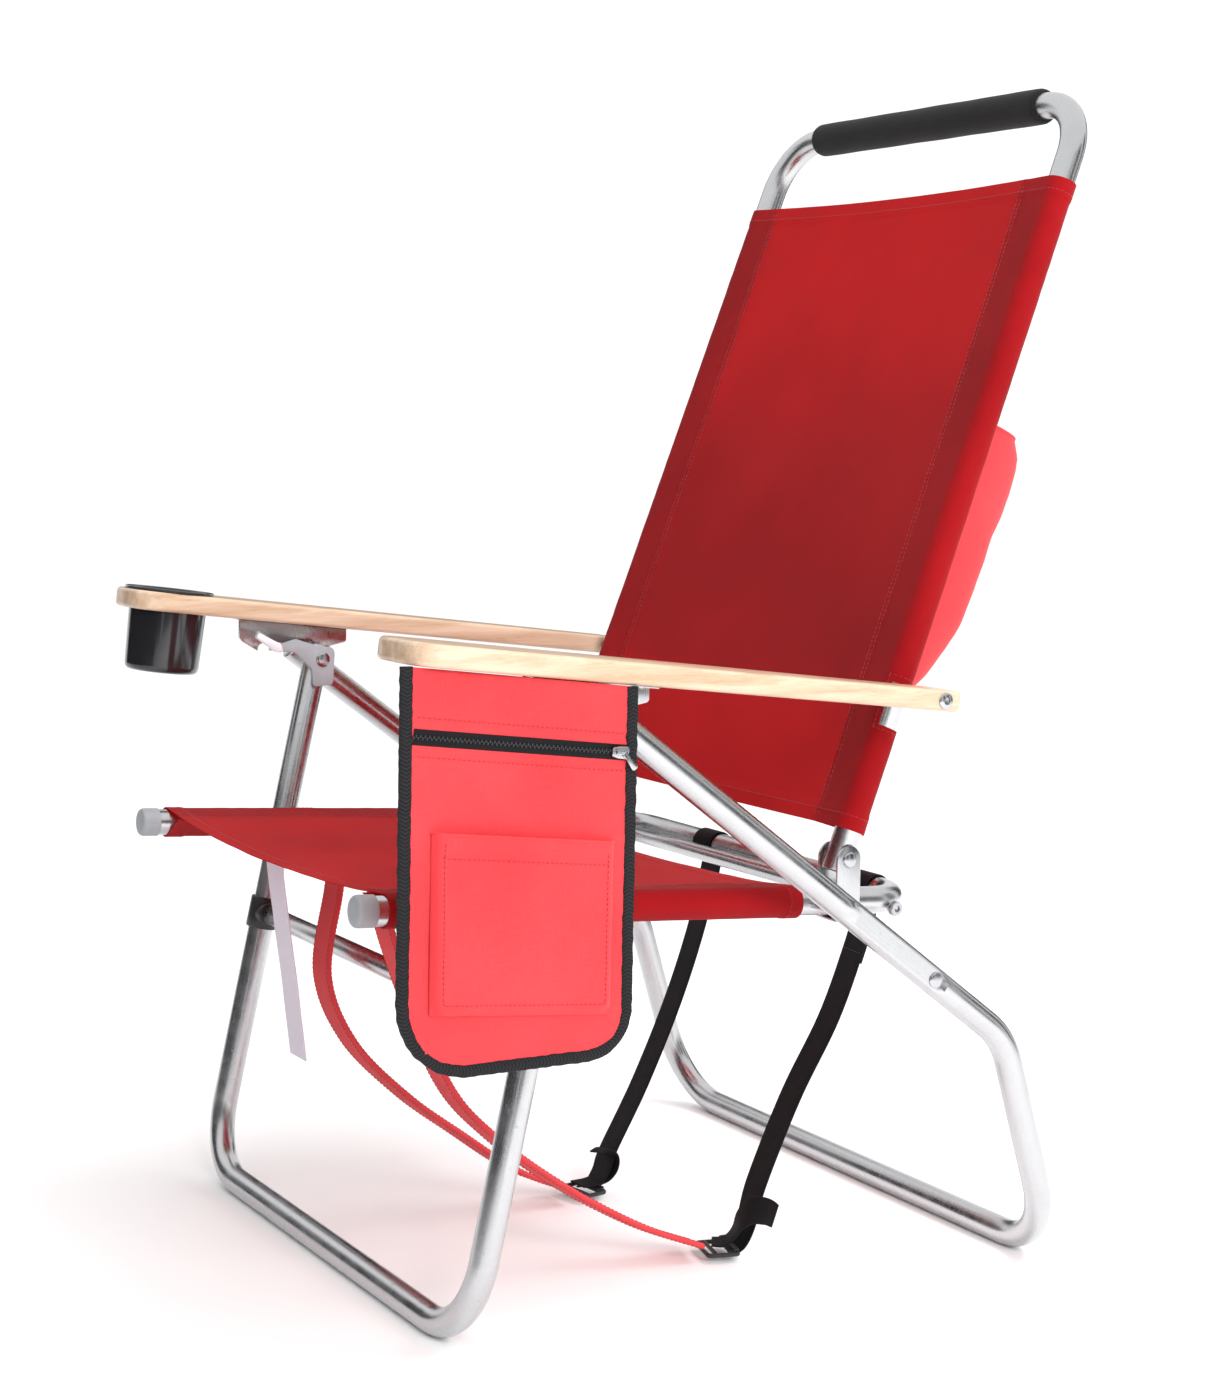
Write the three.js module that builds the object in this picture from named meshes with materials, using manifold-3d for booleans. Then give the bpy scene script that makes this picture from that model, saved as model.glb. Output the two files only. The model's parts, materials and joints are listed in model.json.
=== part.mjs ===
// Folding aluminium beach chair with wooden arms, sling seat and back, cup holder and arm pouch.
// Millimetres. +Z is up, the sitter faces -Y, +X is the sitter's left. The origin is on the floor, in the middle.
// A side-view point is written [y, z]. Mirrored pieces are built once, for the left, and flipped for the right.
import * as THREE from "three";
import { mergeVertices } from "three/addons/utils/BufferGeometryUtils.js";
import Module from "manifold-3d";

const wasm = await Module();
wasm.setup();

// ---------- driving dimensions ----------
const TUBE = 12.7; // outer radius of every frame tube
const SIDES = 12;
const FLOOR = TUBE * Math.cos(Math.PI / SIDES); // axis height of a foot bar that lies on one of its flats
const GAP = 0.3; // left between pieces that touch
const PIN = 4; // radius of bolts and rivets
const BORE = PIN + GAP;
const ROUND_TUBE = (TUBE + GAP) / Math.cos(Math.PI / SIDES); // radius of a hole that clears a frame tube

// side view, [y, z]
const APEX = [-180, 532]; // bolt that joins the front and rear legs
const FRONT_FOOT = [-290, FLOOR];
const KNEE = [239, 224]; // bend in the rear leg
const REAR_FOOT = [306, FLOOR];
const SEAT_FRONT = [-370, 377.5];
const SEAT_REAR = [184, 344.3];
const SEAT_PIVOT = [-214.7, 368];
const SLIDE_PIN = [65.8, 351.3];
const CLEVIS = [102, 389]; // pivot of the back on the seat
const BACK_TOP = [370, 1092];
const ARM_PIVOT = [158.8, 538];
const CROSSBAR = [-235.5, 270];
const CROSS_TUBE = [157, 340];

// distances from the chair's middle plane
const FRONT_LEG_X = 287.5;
const REAR_LEG_X = 324.5;
const SEAT_X = 252;
const BACK_TOP_X = 246;
const RACK_X = [304, 307];
const POUCH_X = [340.5, 346.7];
const PATCH_X = [347, 356];
const ARM_THICKNESS = 19;
const ARM_FRONT_Y = -383;
const ARM_REAR_Y = 181;
const ARM_RISE = 0.11; // how much the arm climbs towards its front end
const SLEEVE = 2.2; // cloth thickness of a sleeve round a tube

// ---------- materials ----------
const finish = (color, roughness, metalness = 0) =>
  new THREE.MeshStandardMaterial({ color, roughness, metalness });
const aluminium = finish(0xc9ccd1, 0.32, 1);
const steel = finish(0xb9bbbf, 0.25, 1);
const redCloth = finish(0xc8242b, 0.85);
const maple = finish(0xe2b988, 0.45);
const blackPlastic = finish(0x17171a, 0.25);
const greyPlastic = finish(0x9a9ca1, 0.5);
const foam = finish(0x1c1c1e, 0.95);
const blackWebbing = finish(0x141416, 0.8);
const paleWebbing = finish(0xd9cdd2, 0.8);

// ---------- helpers ----------
const chair = new THREE.Group();

function add(name, geometry, material, parent = chair) {
  const mesh = new THREE.Mesh(geometry, material);
  mesh.name = name;
  parent.add(mesh);
  return mesh;
}

const at = (x, [y, z]) => new THREE.Vector3(x, y, z);

// unit direction and distance between two side-view points
function between([y0, z0], [y1, z1]) {
  const length = Math.hypot(y1 - y0, z1 - z0);
  return { length, dy: (y1 - y0) / length, dz: (z1 - z0) / length };
}

const along = (start, end, distance) => {
  const { dy, dz } = between(start, end);
  return [start[0] + dy * distance, start[1] + dz * distance];
};

function toManifold(geometry) {
  const bare = new THREE.BufferGeometry().setAttribute("position", geometry.getAttribute("position"));
  if (geometry.index) bare.setIndex(geometry.index);
  const merged = mergeVertices(bare, 1e-4);
  return new wasm.Manifold(
    new wasm.Mesh({
      numProp: 3,
      vertProperties: merged.attributes.position.array,
      triVerts: new Uint32Array(merged.index.array),
    }),
  );
}

function toGeometry(manifold) {
  const mesh = manifold.getMesh();
  const positions = new Float32Array(mesh.numVert * 3);
  for (let i = 0; i < mesh.numVert; i++) {
    positions.set(mesh.vertProperties.subarray(i * mesh.numProp, i * mesh.numProp + 3), i * 3);
  }
  const geometry = new THREE.BufferGeometry()
    .setAttribute("position", new THREE.BufferAttribute(positions, 3))
    .setIndex(new THREE.BufferAttribute(mesh.triVerts, 1));
  const flat = geometry.toNonIndexed();
  flat.computeVertexNormals();
  return flat;
}

const join = (...pieces) => toGeometry(pieces.map(toManifold).reduce((a, b) => a.add(b)));
const cut = (piece, ...cutters) =>
  toGeometry(cutters.map(toManifold).reduce((a, b) => a.subtract(b), toManifold(piece)));

// a line of points with its corners rounded; radii[i] belongs to points[i + 1]
function rounded(points, radii, steps = 5) {
  const path = [points[0]];
  for (let i = 1; i < points.length - 1; i++) {
    const incoming = points[i].clone().sub(points[i - 1]).normalize();
    const outgoing = points[i + 1].clone().sub(points[i]).normalize();
    const turn = incoming.angleTo(outgoing);
    const radius = radii[i - 1];
    const start = points[i].clone().addScaledVector(incoming, -radius * Math.tan(turn / 2));
    const inward = outgoing.clone().addScaledVector(incoming, -outgoing.dot(incoming)).normalize();
    for (let k = 0; k <= steps; k++) {
      const angle = (turn * k) / steps;
      path.push(
        start
          .clone()
          .addScaledVector(incoming, radius * Math.sin(angle))
          .addScaledVector(inward, radius * (1 - Math.cos(angle))),
      );
    }
  }
  path.push(points.at(-1));
  return path;
}

// a closed solid swept along a path; its section is a list of [across, over] pairs,
// measured along side (carried along the path) and the direction square to side and path
function sweep(path, section, side) {
  const positions = [];
  const index = [];
  let across = side.clone();
  const count = section.length;
  path.forEach((centre, i) => {
    const before = path[Math.max(i - 1, 0)];
    const after = path[Math.min(i + 1, path.length - 1)];
    const incoming = centre.clone().sub(before).normalize();
    const outgoing = after.clone().sub(centre).normalize();
    const tangent = incoming.clone().add(outgoing).normalize();
    const end = i === 0 || i === path.length - 1;
    const stretch = end ? 1 : 1 / Math.cos(incoming.angleTo(outgoing) / 2);
    const bend = end ? null : outgoing.clone().sub(incoming);
    across = across.addScaledVector(tangent, -across.dot(tangent)).normalize();
    const over = tangent.clone().cross(across);
    for (const [a, b] of section) {
      const offset = across.clone().multiplyScalar(a).addScaledVector(over, b);
      if (bend && bend.length() > 1e-6) {
        const axis = bend.normalize();
        offset.addScaledVector(axis, offset.dot(axis) * (stretch - 1));
      }
      positions.push(centre.x + offset.x, centre.y + offset.y, centre.z + offset.z);
    }
  });
  for (let i = 0; i < path.length - 1; i++) {
    for (let j = 0; j < count; j++) {
      const next = (j + 1) % count;
      const [a, b, c, d] = [i * count + j, i * count + next, (i + 1) * count + next, (i + 1) * count + j];
      index.push(a, b, c, a, c, d);
    }
  }
  const last = (path.length - 1) * count;
  for (let j = 1; j < count - 1; j++) {
    index.push(0, j + 1, j);
    index.push(last, last + j, last + j + 1);
  }
  return new THREE.BufferGeometry()
    .setAttribute("position", new THREE.Float32BufferAttribute(positions, 3))
    .setIndex(index);
}

// outline of a round section; phase turns its flats
const circle = (radius, sides = SIDES, phase = 0) =>
  Array.from({ length: sides }, (_, i) => {
    const angle = phase + (2 * Math.PI * (i + 0.5)) / sides;
    return [radius * Math.cos(angle), radius * Math.sin(angle)];
  });

const ACROSS = new THREE.Vector3(1, 0, 0);
const rod = (path, radius, phase = 0, sides = SIDES) => sweep(path, circle(radius, sides, phase), ACROSS);

// a straight round bar between two points
function bar(start, end, radius, sides = SIDES) {
  const crossing = Math.abs(end.clone().sub(start).normalize().x) > 0.9;
  return sweep([start, end], circle(radius, sides), crossing ? new THREE.Vector3(0, 0, 1) : ACROSS);
}
const barAcross = (x0, x1, point, radius, sides = 10) => bar(at(x0, point), at(x1, point), radius, sides);

// a frame tube, modelled solid, with bores across it
const frameTube = (path, phase, bores) => cut(rod(path, TUBE, phase), ...bores);

const block = (x0, x1, y0, y1, z0, z1) =>
  new THREE.BoxGeometry(x1 - x0, y1 - y0, z1 - z0).translate((x0 + x1) / 2, (y0 + y1) / 2, (z0 + z1) / 2);

// a plate cut from a side-view outline, between two distances from the middle plane
function sidePlate(shape, x0, x1) {
  const plate = new THREE.ExtrudeGeometry(shape, { depth: x1 - x0, bevelEnabled: false, curveSegments: 4 });
  const turn = new THREE.Matrix4().makeBasis(
    new THREE.Vector3(0, 1, 0),
    new THREE.Vector3(0, 0, 1),
    new THREE.Vector3(1, 0, 0),
  );
  return plate.applyMatrix4(turn).translate(x0, 0, 0);
}

// a turned piece round an axis across the chair: profile is [distance along X, radius] pairs
function turned(profile, point, sides = 12) {
  const points = profile.map(([x, radius]) => new THREE.Vector2(radius, x));
  const body = new THREE.LatheGeometry(points, sides);
  return body.rotateZ(-Math.PI / 2).translate(0, point[0], point[1]);
}

// outline with rounded corners: corners are [u, v, radius]
function outline(corners) {
  const shape = new THREE.Shape();
  corners.forEach(([u, v, radius], i) => {
    const [pu, pv] = corners.at(i - 1);
    const [nu, nv] = corners[(i + 1) % corners.length];
    const before = Math.hypot(pu - u, pv - v);
    const after = Math.hypot(nu - u, nv - v);
    const cosine = ((pu - u) * (nu - u) + (pv - v) * (nv - v)) / (before * after);
    const reach = radius ? radius / Math.tan(Math.acos(cosine) / 2) : 0;
    const start = [u + ((pu - u) * reach) / before, v + ((pv - v) * reach) / before];
    const end = [u + ((nu - u) * reach) / after, v + ((nv - v) * reach) / after];
    if (i === 0) shape.moveTo(...start);
    else shape.lineTo(...start);
    if (reach) shape.quadraticCurveTo(u, v, ...end);
  });
  shape.closePath();
  return shape;
}

const SIDE_NAMES = ["left", "right"];
const halves = { left: new THREE.Group(), right: new THREE.Group() };
halves.right.scale.x = -1;
chair.add(halves.left, halves.right);

// the same piece on both sides of the chair
function addPair(name, geometry, material) {
  for (const side of SIDE_NAMES) add(`${name}_${side}`, geometry, material, halves[side]);
}

// cutters for a bore that crosses the chair on both sides
const boresAt = (point, x0, x1, radius = BORE) => [
  barAcross(x0, x1, point, radius),
  barAcross(-x1, -x0, point, radius),
];

// ---------- legs ----------
const LEG_TOP = 15; // how far a leg runs past the apex bolt
const frontLegTop = along(APEX, FRONT_FOOT, -LEG_TOP);
const rearLegTop = along(APEX, KNEE, -LEG_TOP);

function frontLegs() {
  const corners = [
    at(FRONT_LEG_X, frontLegTop),
    at(FRONT_LEG_X, FRONT_FOOT),
    at(-FRONT_LEG_X, FRONT_FOOT),
    at(-FRONT_LEG_X, frontLegTop),
  ];
  const lean = Math.atan2(APEX[0] - FRONT_FOOT[0], APEX[1] - FRONT_FOOT[1]);
  const bores = [APEX, SEAT_PIVOT].flatMap((point) => boresAt(point, 260, 310));
  return frameTube(rounded(corners, [68, 68]), -lean, bores);
}

const FLAT_FROM = 290; // the outer face of the rear leg is pressed flat between these distances from the apex
const FLAT_TO = 427;
const FLAT_X = 333.6;
const LEG_RIVET = along(APEX, KNEE, 413);

function rearLegs() {
  const corners = [
    at(REAR_LEG_X, rearLegTop),
    at(REAR_LEG_X, KNEE),
    at(REAR_LEG_X, REAR_FOOT),
    at(-REAR_LEG_X, REAR_FOOT),
    at(-REAR_LEG_X, KNEE),
    at(-REAR_LEG_X, rearLegTop),
  ];
  const lean = Math.atan2(KNEE[0] - REAR_FOOT[0], KNEE[1] - REAR_FOOT[1]);
  const legs = frameTube(rounded(corners, [75, 72, 72, 75]), -lean, boresAt(APEX, 300, 350));
  const { dy, dz } = between(APEX, KNEE);
  const side = (offset) => [-dz * offset, dy * offset];
  const strip = (from, to, half) => {
    const [[y0, z0], [y1, z1]] = [along(APEX, KNEE, from), along(APEX, KNEE, to)];
    const [sy, sz] = side(half);
    const shape = outline([
      [y0 - sy, z0 - sz, 0],
      [y1 - sy, z1 - sz, 0],
      [y1 + sy, z1 + sz, 0],
      [y0 + sy, z0 + sz, 0],
    ]);
    return [sidePlate(shape, FLAT_X, 345), sidePlate(shape, -345, -FLAT_X)];
  };
  return cut(legs, ...strip(FLAT_FROM, FLAT_TO, 16), ...boresAt(LEG_RIVET, FLAT_X - 8, 345));
}

add("front_leg_frame", frontLegs(), aluminium);
add("rear_leg_frame", rearLegs(), aluminium);

const CROSSBAR_RADIUS = 9.5;
const CROSSBAR_END = FRONT_LEG_X - TUBE - 3;
add("front_crossbar", barAcross(-CROSSBAR_END, CROSSBAR_END, CROSSBAR, CROSSBAR_RADIUS, SIDES), aluminium);

// collar round the front leg with a short socket that the crossbar ends in
function crossbarSaddle() {
  const top = at(FRONT_LEG_X, along(CROSSBAR, APEX, 16));
  const bottom = at(FRONT_LEG_X, along(CROSSBAR, FRONT_FOOT, 16));
  const beyondTop = at(FRONT_LEG_X, along(CROSSBAR, APEX, 20));
  const beyondBottom = at(FRONT_LEG_X, along(CROSSBAR, FRONT_FOOT, 20));
  const collar = join(bar(top, bottom, 15.6), barAcross(267.8, FRONT_LEG_X, CROSSBAR, 13));
  return cut(
    collar,
    bar(beyondTop, beyondBottom, ROUND_TUBE),
    barAcross(250, CROSSBAR_END + GAP, CROSSBAR, CROSSBAR_RADIUS + GAP, SIDES),
  );
}
addPair("crossbar_saddle", crossbarSaddle(), blackPlastic);

// ---------- seat frame ----------
const SEAT_CORNER = 50;

function seatFrame() {
  const corners = [
    at(SEAT_X, SEAT_FRONT),
    at(SEAT_X, SEAT_REAR),
    at(-SEAT_X, SEAT_REAR),
    at(-SEAT_X, SEAT_FRONT),
  ];
  return frameTube(rounded(corners, [SEAT_CORNER, SEAT_CORNER]), 0, [
    ...boresAt(SEAT_PIVOT, 230, 275),
    ...boresAt(SLIDE_PIN, 230, 275),
    ...boresAt(CROSS_TUBE, 205, 275),
  ]);
}
add("seat_frame", seatFrame(), aluminium);

const CROSS_TUBE_END = 219;
const crossTubeBores = boresAt(CROSS_TUBE, 190, 230);
add(
  "seat_cross_tube",
  cut(barAcross(-CROSS_TUBE_END, CROSS_TUBE_END, CROSS_TUBE, 8, SIDES), ...crossTubeBores),
  aluminium,
);

function railCap() {
  const front = along(SEAT_FRONT, SEAT_REAR, -13);
  const rim = along(SEAT_FRONT, SEAT_REAR, -GAP);
  return bar(at(SEAT_X, rim), at(SEAT_X, front), TUBE + 1.1);
}
addPair("rail_end_cap", railCap(), greyPlastic);

// U-shaped bracket whose two ears hold the foot of the back tube
function clevis() {
  const [y, z] = CLEVIS;
  const half = 13;
  const base = [333, 335.4];
  const ear = new THREE.Shape();
  ear.moveTo(y - half, base[0]);
  ear.lineTo(y + half, base[0]);
  ear.lineTo(y + half, z);
  ear.absarc(y, z, half, 0, Math.PI, false);
  ear.closePath();
  const [inner, outer] = [SEAT_X - TUBE - GAP, SEAT_X + TUBE + GAP];
  const ears = [sidePlate(ear, inner - 2.5, inner), sidePlate(ear, outer, outer + 2.5)];
  const floor = block(inner - 2.5, outer + 2.5, y - half, y + half, ...base);
  return cut(join(...ears, floor), barAcross(230, 275, CLEVIS, BORE));
}
addPair("clevis", clevis(), aluminium);

// ---------- back frame ----------
const BACK_CORNER = 58;
const backFoot = along(CLEVIS, BACK_TOP, -13);
const backX = (point) =>
  SEAT_X + ((BACK_TOP_X - SEAT_X) * (point[1] - CLEVIS[1])) / (BACK_TOP[1] - CLEVIS[1]);

function backFrame() {
  const corners = [
    at(SEAT_X, backFoot),
    at(BACK_TOP_X, BACK_TOP),
    at(-BACK_TOP_X, BACK_TOP),
    at(-SEAT_X, backFoot),
  ];
  return frameTube(rounded(corners, [BACK_CORNER, BACK_CORNER]), 0, [
    ...boresAt(CLEVIS, 230, 275),
    ...boresAt(ARM_PIVOT, 230, 275),
  ]);
}
add("back_frame", backFrame(), aluminium);

function handleGrip() {
  const reach = BACK_TOP_X - BACK_CORNER - 4;
  return cut(
    barAcross(-reach, reach, BACK_TOP, 17.5, SIDES),
    barAcross(-reach - 5, reach + 5, BACK_TOP, ROUND_TUBE, SIDES),
  );
}
add("handle_grip", handleGrip(), foam);

// ---------- slings ----------
const SEAT_CLOTH_FROM = 14; // distances along a seat rail from its front end
const SEAT_CLOTH_TO = 424;
const BACK_CLOTH_FROM = 26; // distances up the back tube from its pivot
const BACK_CLOTH_TO = 668;
const PANEL = 2; // cloth panel thickness

// a panel that dips in the middle, with a sleeve round a tube along each side
function sling({ start, end, from, to, dip, halfWidth, holes }) {
  const [low, high] = [along(start, end, from), along(start, end, to)];
  const { dy, dz } = between(start, end);
  const up = new THREE.Vector3(0, -dz, dy);
  const lift = ROUND_TUBE + SLEEVE - PANEL;
  const steps = 8;
  const edge = halfWidth(high) - 2;
  const height = (x) => lift - dip * (1 - (x / edge) ** 2);
  const xs = Array.from({ length: steps + 1 }, (_, i) => edge * ((2 * i) / steps - 1));
  const top = xs.map((x) => [x, height(x) + PANEL]);
  const under = xs.map((x) => [x, height(x)]).reverse();
  const shape = new THREE.Shape([...under, ...top].map(([x, h]) => new THREE.Vector2(x, h)));
  const length = to - from;
  const panel = new THREE.ExtrudeGeometry(shape, { depth: length, bevelEnabled: false });
  const alongAxis = new THREE.Vector3(0, dy, dz);
  const placed = new THREE.Matrix4().makeBasis(new THREE.Vector3(-1, 0, 0), up, alongAxis);
  panel.applyMatrix4(placed).translate(0, ...low);
  const sleeve = (sign, radius, extra) => {
    const [a, b] = [along(low, high, -extra), along(high, low, -extra)];
    return bar(at(sign * halfWidth(a), a), at(sign * halfWidth(b), b), radius);
  };
  const cloth = join(panel, sleeve(1, ROUND_TUBE + SLEEVE, 0), sleeve(-1, ROUND_TUBE + SLEEVE, 0));
  return cut(cloth, sleeve(1, ROUND_TUBE, 30), sleeve(-1, ROUND_TUBE, 30), ...holes);
}

add(
  "seat_sling",
  sling({
    start: SEAT_FRONT,
    end: SEAT_REAR,
    from: SEAT_CLOTH_FROM,
    to: SEAT_CLOTH_TO,
    dip: 12,
    halfWidth: () => SEAT_X,
    holes: boresAt(SEAT_PIVOT, 230, 275, 10),
  }),
  redCloth,
);
add(
  "back_sling",
  sling({
    start: CLEVIS,
    end: BACK_TOP,
    from: BACK_CLOTH_FROM,
    to: BACK_CLOTH_TO,
    dip: 10,
    halfWidth: backX,
    holes: boresAt(ARM_PIVOT, 230, 275, 12),
  }),
  redCloth,
);

// storage pocket that bulges behind the back sling, open along its top
function backPocket() {
  const half = 200;
  const cloth = 3;
  const rearOf = (height, offset) => {
    const { dy, dz } = between(CLEVIS, BACK_TOP);
    const [y, z] = along(CLEVIS, BACK_TOP, height);
    return [y + dz * offset, z - dy * offset];
  };
  const profile = (inset, lid) => [
    [...rearOf(150 + inset, 3 + inset), 0],
    [...rearOf(158 + inset, 22 - inset), 12],
    [...rearOf(250, 50 - inset), 60],
    [...rearOf(395, 76 - inset), 40],
    [...rearOf(425 + lid, 52 - inset), lid ? 0 : 10],
    [...rearOf(425 + lid, 3 + inset), 0],
  ];
  const shell = sidePlate(outline(profile(0, 0)), -half, half);
  const inside = sidePlate(outline(profile(cloth, 12)), cloth - half, half - cloth);
  return cut(shell, inside);
}
add("back_pocket", backPocket(), redCloth);

// ---------- arms ----------
const ARM_INNER = { rear: 276, front: 264 };
const ARM_OUTER = { rear: 326, front: 358 };
const armMid = (y) => ARM_PIVOT[1] + ARM_RISE * (ARM_PIVOT[0] - y);
const armUnder = (y) => armMid(y) - (ARM_THICKNESS / 2) * Math.hypot(1, ARM_RISE);
const CUP = { x: 311, y: -332, radius: 39, depth: 62 };

// stands a turned piece square to the arm, at the cup's place
const onArm = (geometry) =>
  geometry.rotateX(Math.PI / 2 - Math.atan(ARM_RISE)).translate(CUP.x, CUP.y, armMid(CUP.y));

function armrest(cupHole) {
  const shape = outline([
    [ARM_INNER.rear, ARM_REAR_Y, 12],
    [ARM_OUTER.rear, ARM_REAR_Y, 12],
    [ARM_OUTER.front, ARM_FRONT_Y, 34],
    [ARM_INNER.front, ARM_FRONT_Y, 34],
  ]);
  const extrusion = { depth: ARM_THICKNESS, bevelEnabled: false, curveSegments: 5 };
  const board = new THREE.ExtrudeGeometry(shape, extrusion);
  board.translate(0, -ARM_PIVOT[0], -ARM_THICKNESS / 2).rotateX(-Math.atan(ARM_RISE));
  board.translate(0, ...ARM_PIVOT);
  const cutters = [barAcross(250, 345, ARM_PIVOT, BORE)];
  if (cupHole) cutters.push(onArm(new THREE.CylinderGeometry(CUP.radius + 1, CUP.radius + 1, 60, 24)));
  return cut(board, ...cutters);
}
add("armrest_left", armrest(false), maple, halves.left);
add("armrest_right", armrest(true), maple, halves.right);

// hanging plate with rounded notches above the apex bolt, and a foot under the arm
const NOTCH_PITCH = 17;
const NOTCHES = 4;

function armRack() {
  const [y, z] = APEX;
  const [rear, front] = [y + 42, y - 78];
  const shape = new THREE.Shape();
  shape.moveTo(rear, armUnder(rear) - GAP);
  shape.lineTo(rear, z + 14);
  for (let i = 0; i < NOTCHES; i++) {
    const centre = y - i * NOTCH_PITCH;
    shape.lineTo(centre + 6.5, z + PIN + 3.5);
    shape.absarc(centre, z + PIN + 5, 6.5, 0, Math.PI, false);
    shape.lineTo(centre - 6.5, z + PIN + 3.5);
  }
  shape.lineTo(front, z + 20);
  shape.lineTo(front, armUnder(front) - GAP);
  shape.closePath();
  const foot = new THREE.Shape();
  foot.moveTo(rear, armUnder(rear) - GAP);
  foot.lineTo(front, armUnder(front) - GAP);
  foot.lineTo(front, armUnder(front) - GAP - 2);
  foot.lineTo(rear, armUnder(rear) - GAP - 2);
  foot.closePath();
  return join(sidePlate(shape, ...RACK_X), sidePlate(foot, RACK_X[0], RACK_X[1] + 16));
}
addPair("arm_rack", armRack(), aluminium);

function cupHolder() {
  const { radius, depth } = CUP;
  const wall = 2;
  const lip = 3;
  const above = ARM_THICKNESS / 2 + GAP;
  const bottom = -ARM_THICKNESS / 2 - depth;
  const profile = [
    [0, bottom],
    [radius - 3, bottom],
    [radius, above],
    [radius + 5.5, above],
    [radius + 5, above + lip],
    [radius - wall, above + lip],
    [radius - wall - 2.8, bottom + wall],
    [0, bottom + wall],
  ].map(([r, h]) => new THREE.Vector2(r, h));
  return onArm(new THREE.LatheGeometry(profile, 24));
}
add("cup_holder", cupHolder(), blackPlastic, halves.right);

const POUCH = { front: -387.1, rear: -172, bottom: 256 };

function armPouch() {
  const shape = outline([
    [POUCH.front, armUnder(POUCH.front) - 1, 0],
    [POUCH.front, POUCH.bottom, 62],
    [POUCH.rear, POUCH.bottom, 40],
    [POUCH.rear, armUnder(POUCH.rear) - 1, 0],
  ]);
  return sidePlate(shape, ...POUCH_X);
}
add("arm_pouch", armPouch(), redCloth, halves.left);

// flat patch pocket on the pouch, open along its top
function patchPocket() {
  const [front, rear, bottom, top] = [-360, -195, 300, 456];
  const slope = 18;
  const corners = (inset, lid) => [
    [front + inset, top + lid, 0],
    [front + inset, bottom + 10 + inset, 14],
    [rear - inset, bottom - 5 + inset, 14],
    [rear - inset, top - slope + lid, 0],
  ];
  const cavity = sidePlate(outline(corners(3, 8)), PATCH_X[0] + 1.5, PATCH_X[1] - 1.5);
  return cut(sidePlate(outline(corners(0, 0)), ...PATCH_X), cavity);
}
add("pouch_patch_pocket", patchPocket(), redCloth, halves.left);

const ZIP = { y: -190, z: 511 };
const slider = block(POUCH_X[1] + GAP, POUCH_X[1] + 4.5, ZIP.y - 8, ZIP.y + 8, ZIP.z - 4.5, ZIP.z + 4.5);
add("zip_slider", slider, steel, halves.left);

// ---------- pivots ----------
// a domed head, a shank and a domed head, between two distances from the middle plane
function rivet(x0, x1, point, head = 7.5, rise = 2.2) {
  return turned(
    [
      [x0 - rise, 0],
      [x0 - rise, head * 0.55],
      [x0, head],
      [x0, PIN],
      [x1, PIN],
      [x1, head],
      [x1 + rise, head * 0.55],
      [x1 + rise, 0],
    ],
    point,
    10,
  );
}
const [SEAT_IN, SEAT_OUT] = [SEAT_X - TUBE - GAP, SEAT_X + TUBE + GAP];
const LATCH_X = [268.7, 274.2];
addPair("apex_bolt", rivet(LATCH_X[0] - GAP, REAR_LEG_X + TUBE + GAP, APEX, 7.5, 1.6), steel);
addPair("seat_pivot_bolt", rivet(SEAT_IN, FRONT_LEG_X + TUBE + GAP, SEAT_PIVOT), steel);
addPair("clevis_rivet", rivet(SEAT_IN - 2.5 - GAP, SEAT_OUT + 2.5 + GAP, CLEVIS), steel);
const armOuterEdge = 328.2;
addPair("arm_pivot_bolt", rivet(backX(ARM_PIVOT) - TUBE - GAP, armOuterEdge, ARM_PIVOT), steel);

const seatSpacer = cut(
  barAcross(SEAT_OUT, FRONT_LEG_X - TUBE - GAP, SEAT_PIVOT, 8),
  barAcross(255, 280, SEAT_PIVOT, BORE),
);
addPair("seat_spacer", seatSpacer, greyPlastic);

// peg from the seat rail that runs along the inside of the rear leg; it stops just short of the leg
const slidePin = turned(
  [
    [SEAT_IN - 2, 0],
    [SEAT_IN - 2, 7],
    [SEAT_IN, 7],
    [SEAT_IN, PIN],
    [REAR_LEG_X - TUBE - 1, PIN],
    [REAR_LEG_X - TUBE - 1, 0],
  ],
  SLIDE_PIN,
);
addPair("slide_pin", slidePin, steel);

const legRivet = turned(
  [
    [FLAT_X - 6, 0],
    [FLAT_X - 6, PIN],
    [FLAT_X + GAP, PIN],
    [FLAT_X + GAP, 7.5],
    [FLAT_X + 2.4, 4],
    [FLAT_X + 2.4, 0],
  ],
  LEG_RIVET,
  10,
);
addPair("leg_rivet", legRivet, steel);

// socket bolt with its washer, through the seat tube's corner into the cross tube
const WASHER_X = 263.2;
const crossTubeBolt = turned(
  [
    [196, 0],
    [196, PIN],
    [WASHER_X, PIN],
    [WASHER_X, 7.3],
    [WASHER_X + 1.5, 7.3],
    [WASHER_X + 1.5, 6.2],
    [WASHER_X + 5.4, 6.2],
    [WASHER_X + 5.4, 3],
    [WASHER_X + 3.4, 3],
    [WASHER_X + 3.4, 0],
  ],
  CROSS_TUBE,
);
addPair("cross_tube_bolt", crossTubeBolt, steel);

// latch plate beside the front leg, with a finger tab that reaches forward under the arm
function latchLever() {
  const [y, z] = APEX;
  const shape = outline([
    [y + 12, z - 26, 4],
    [y + 14, z + 12, 8],
    [y - 8, z + 15, 6],
    [y - 30, z + 22, 4],
    [y - 48, z + 17, 10],
    [y - 72, z + 32, 2],
    [y - 74, z + 27, 2],
    [y - 52, z + 10, 10],
    [y - 30, z + 8, 6],
    [y - 12, z - 10, 6],
    [y - 10, z - 28, 4],
  ]);
  return cut(sidePlate(shape, ...LATCH_X), barAcross(260, 280, APEX, BORE));
}
addPair("latch_lever", latchLever(), greyPlastic);

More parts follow.
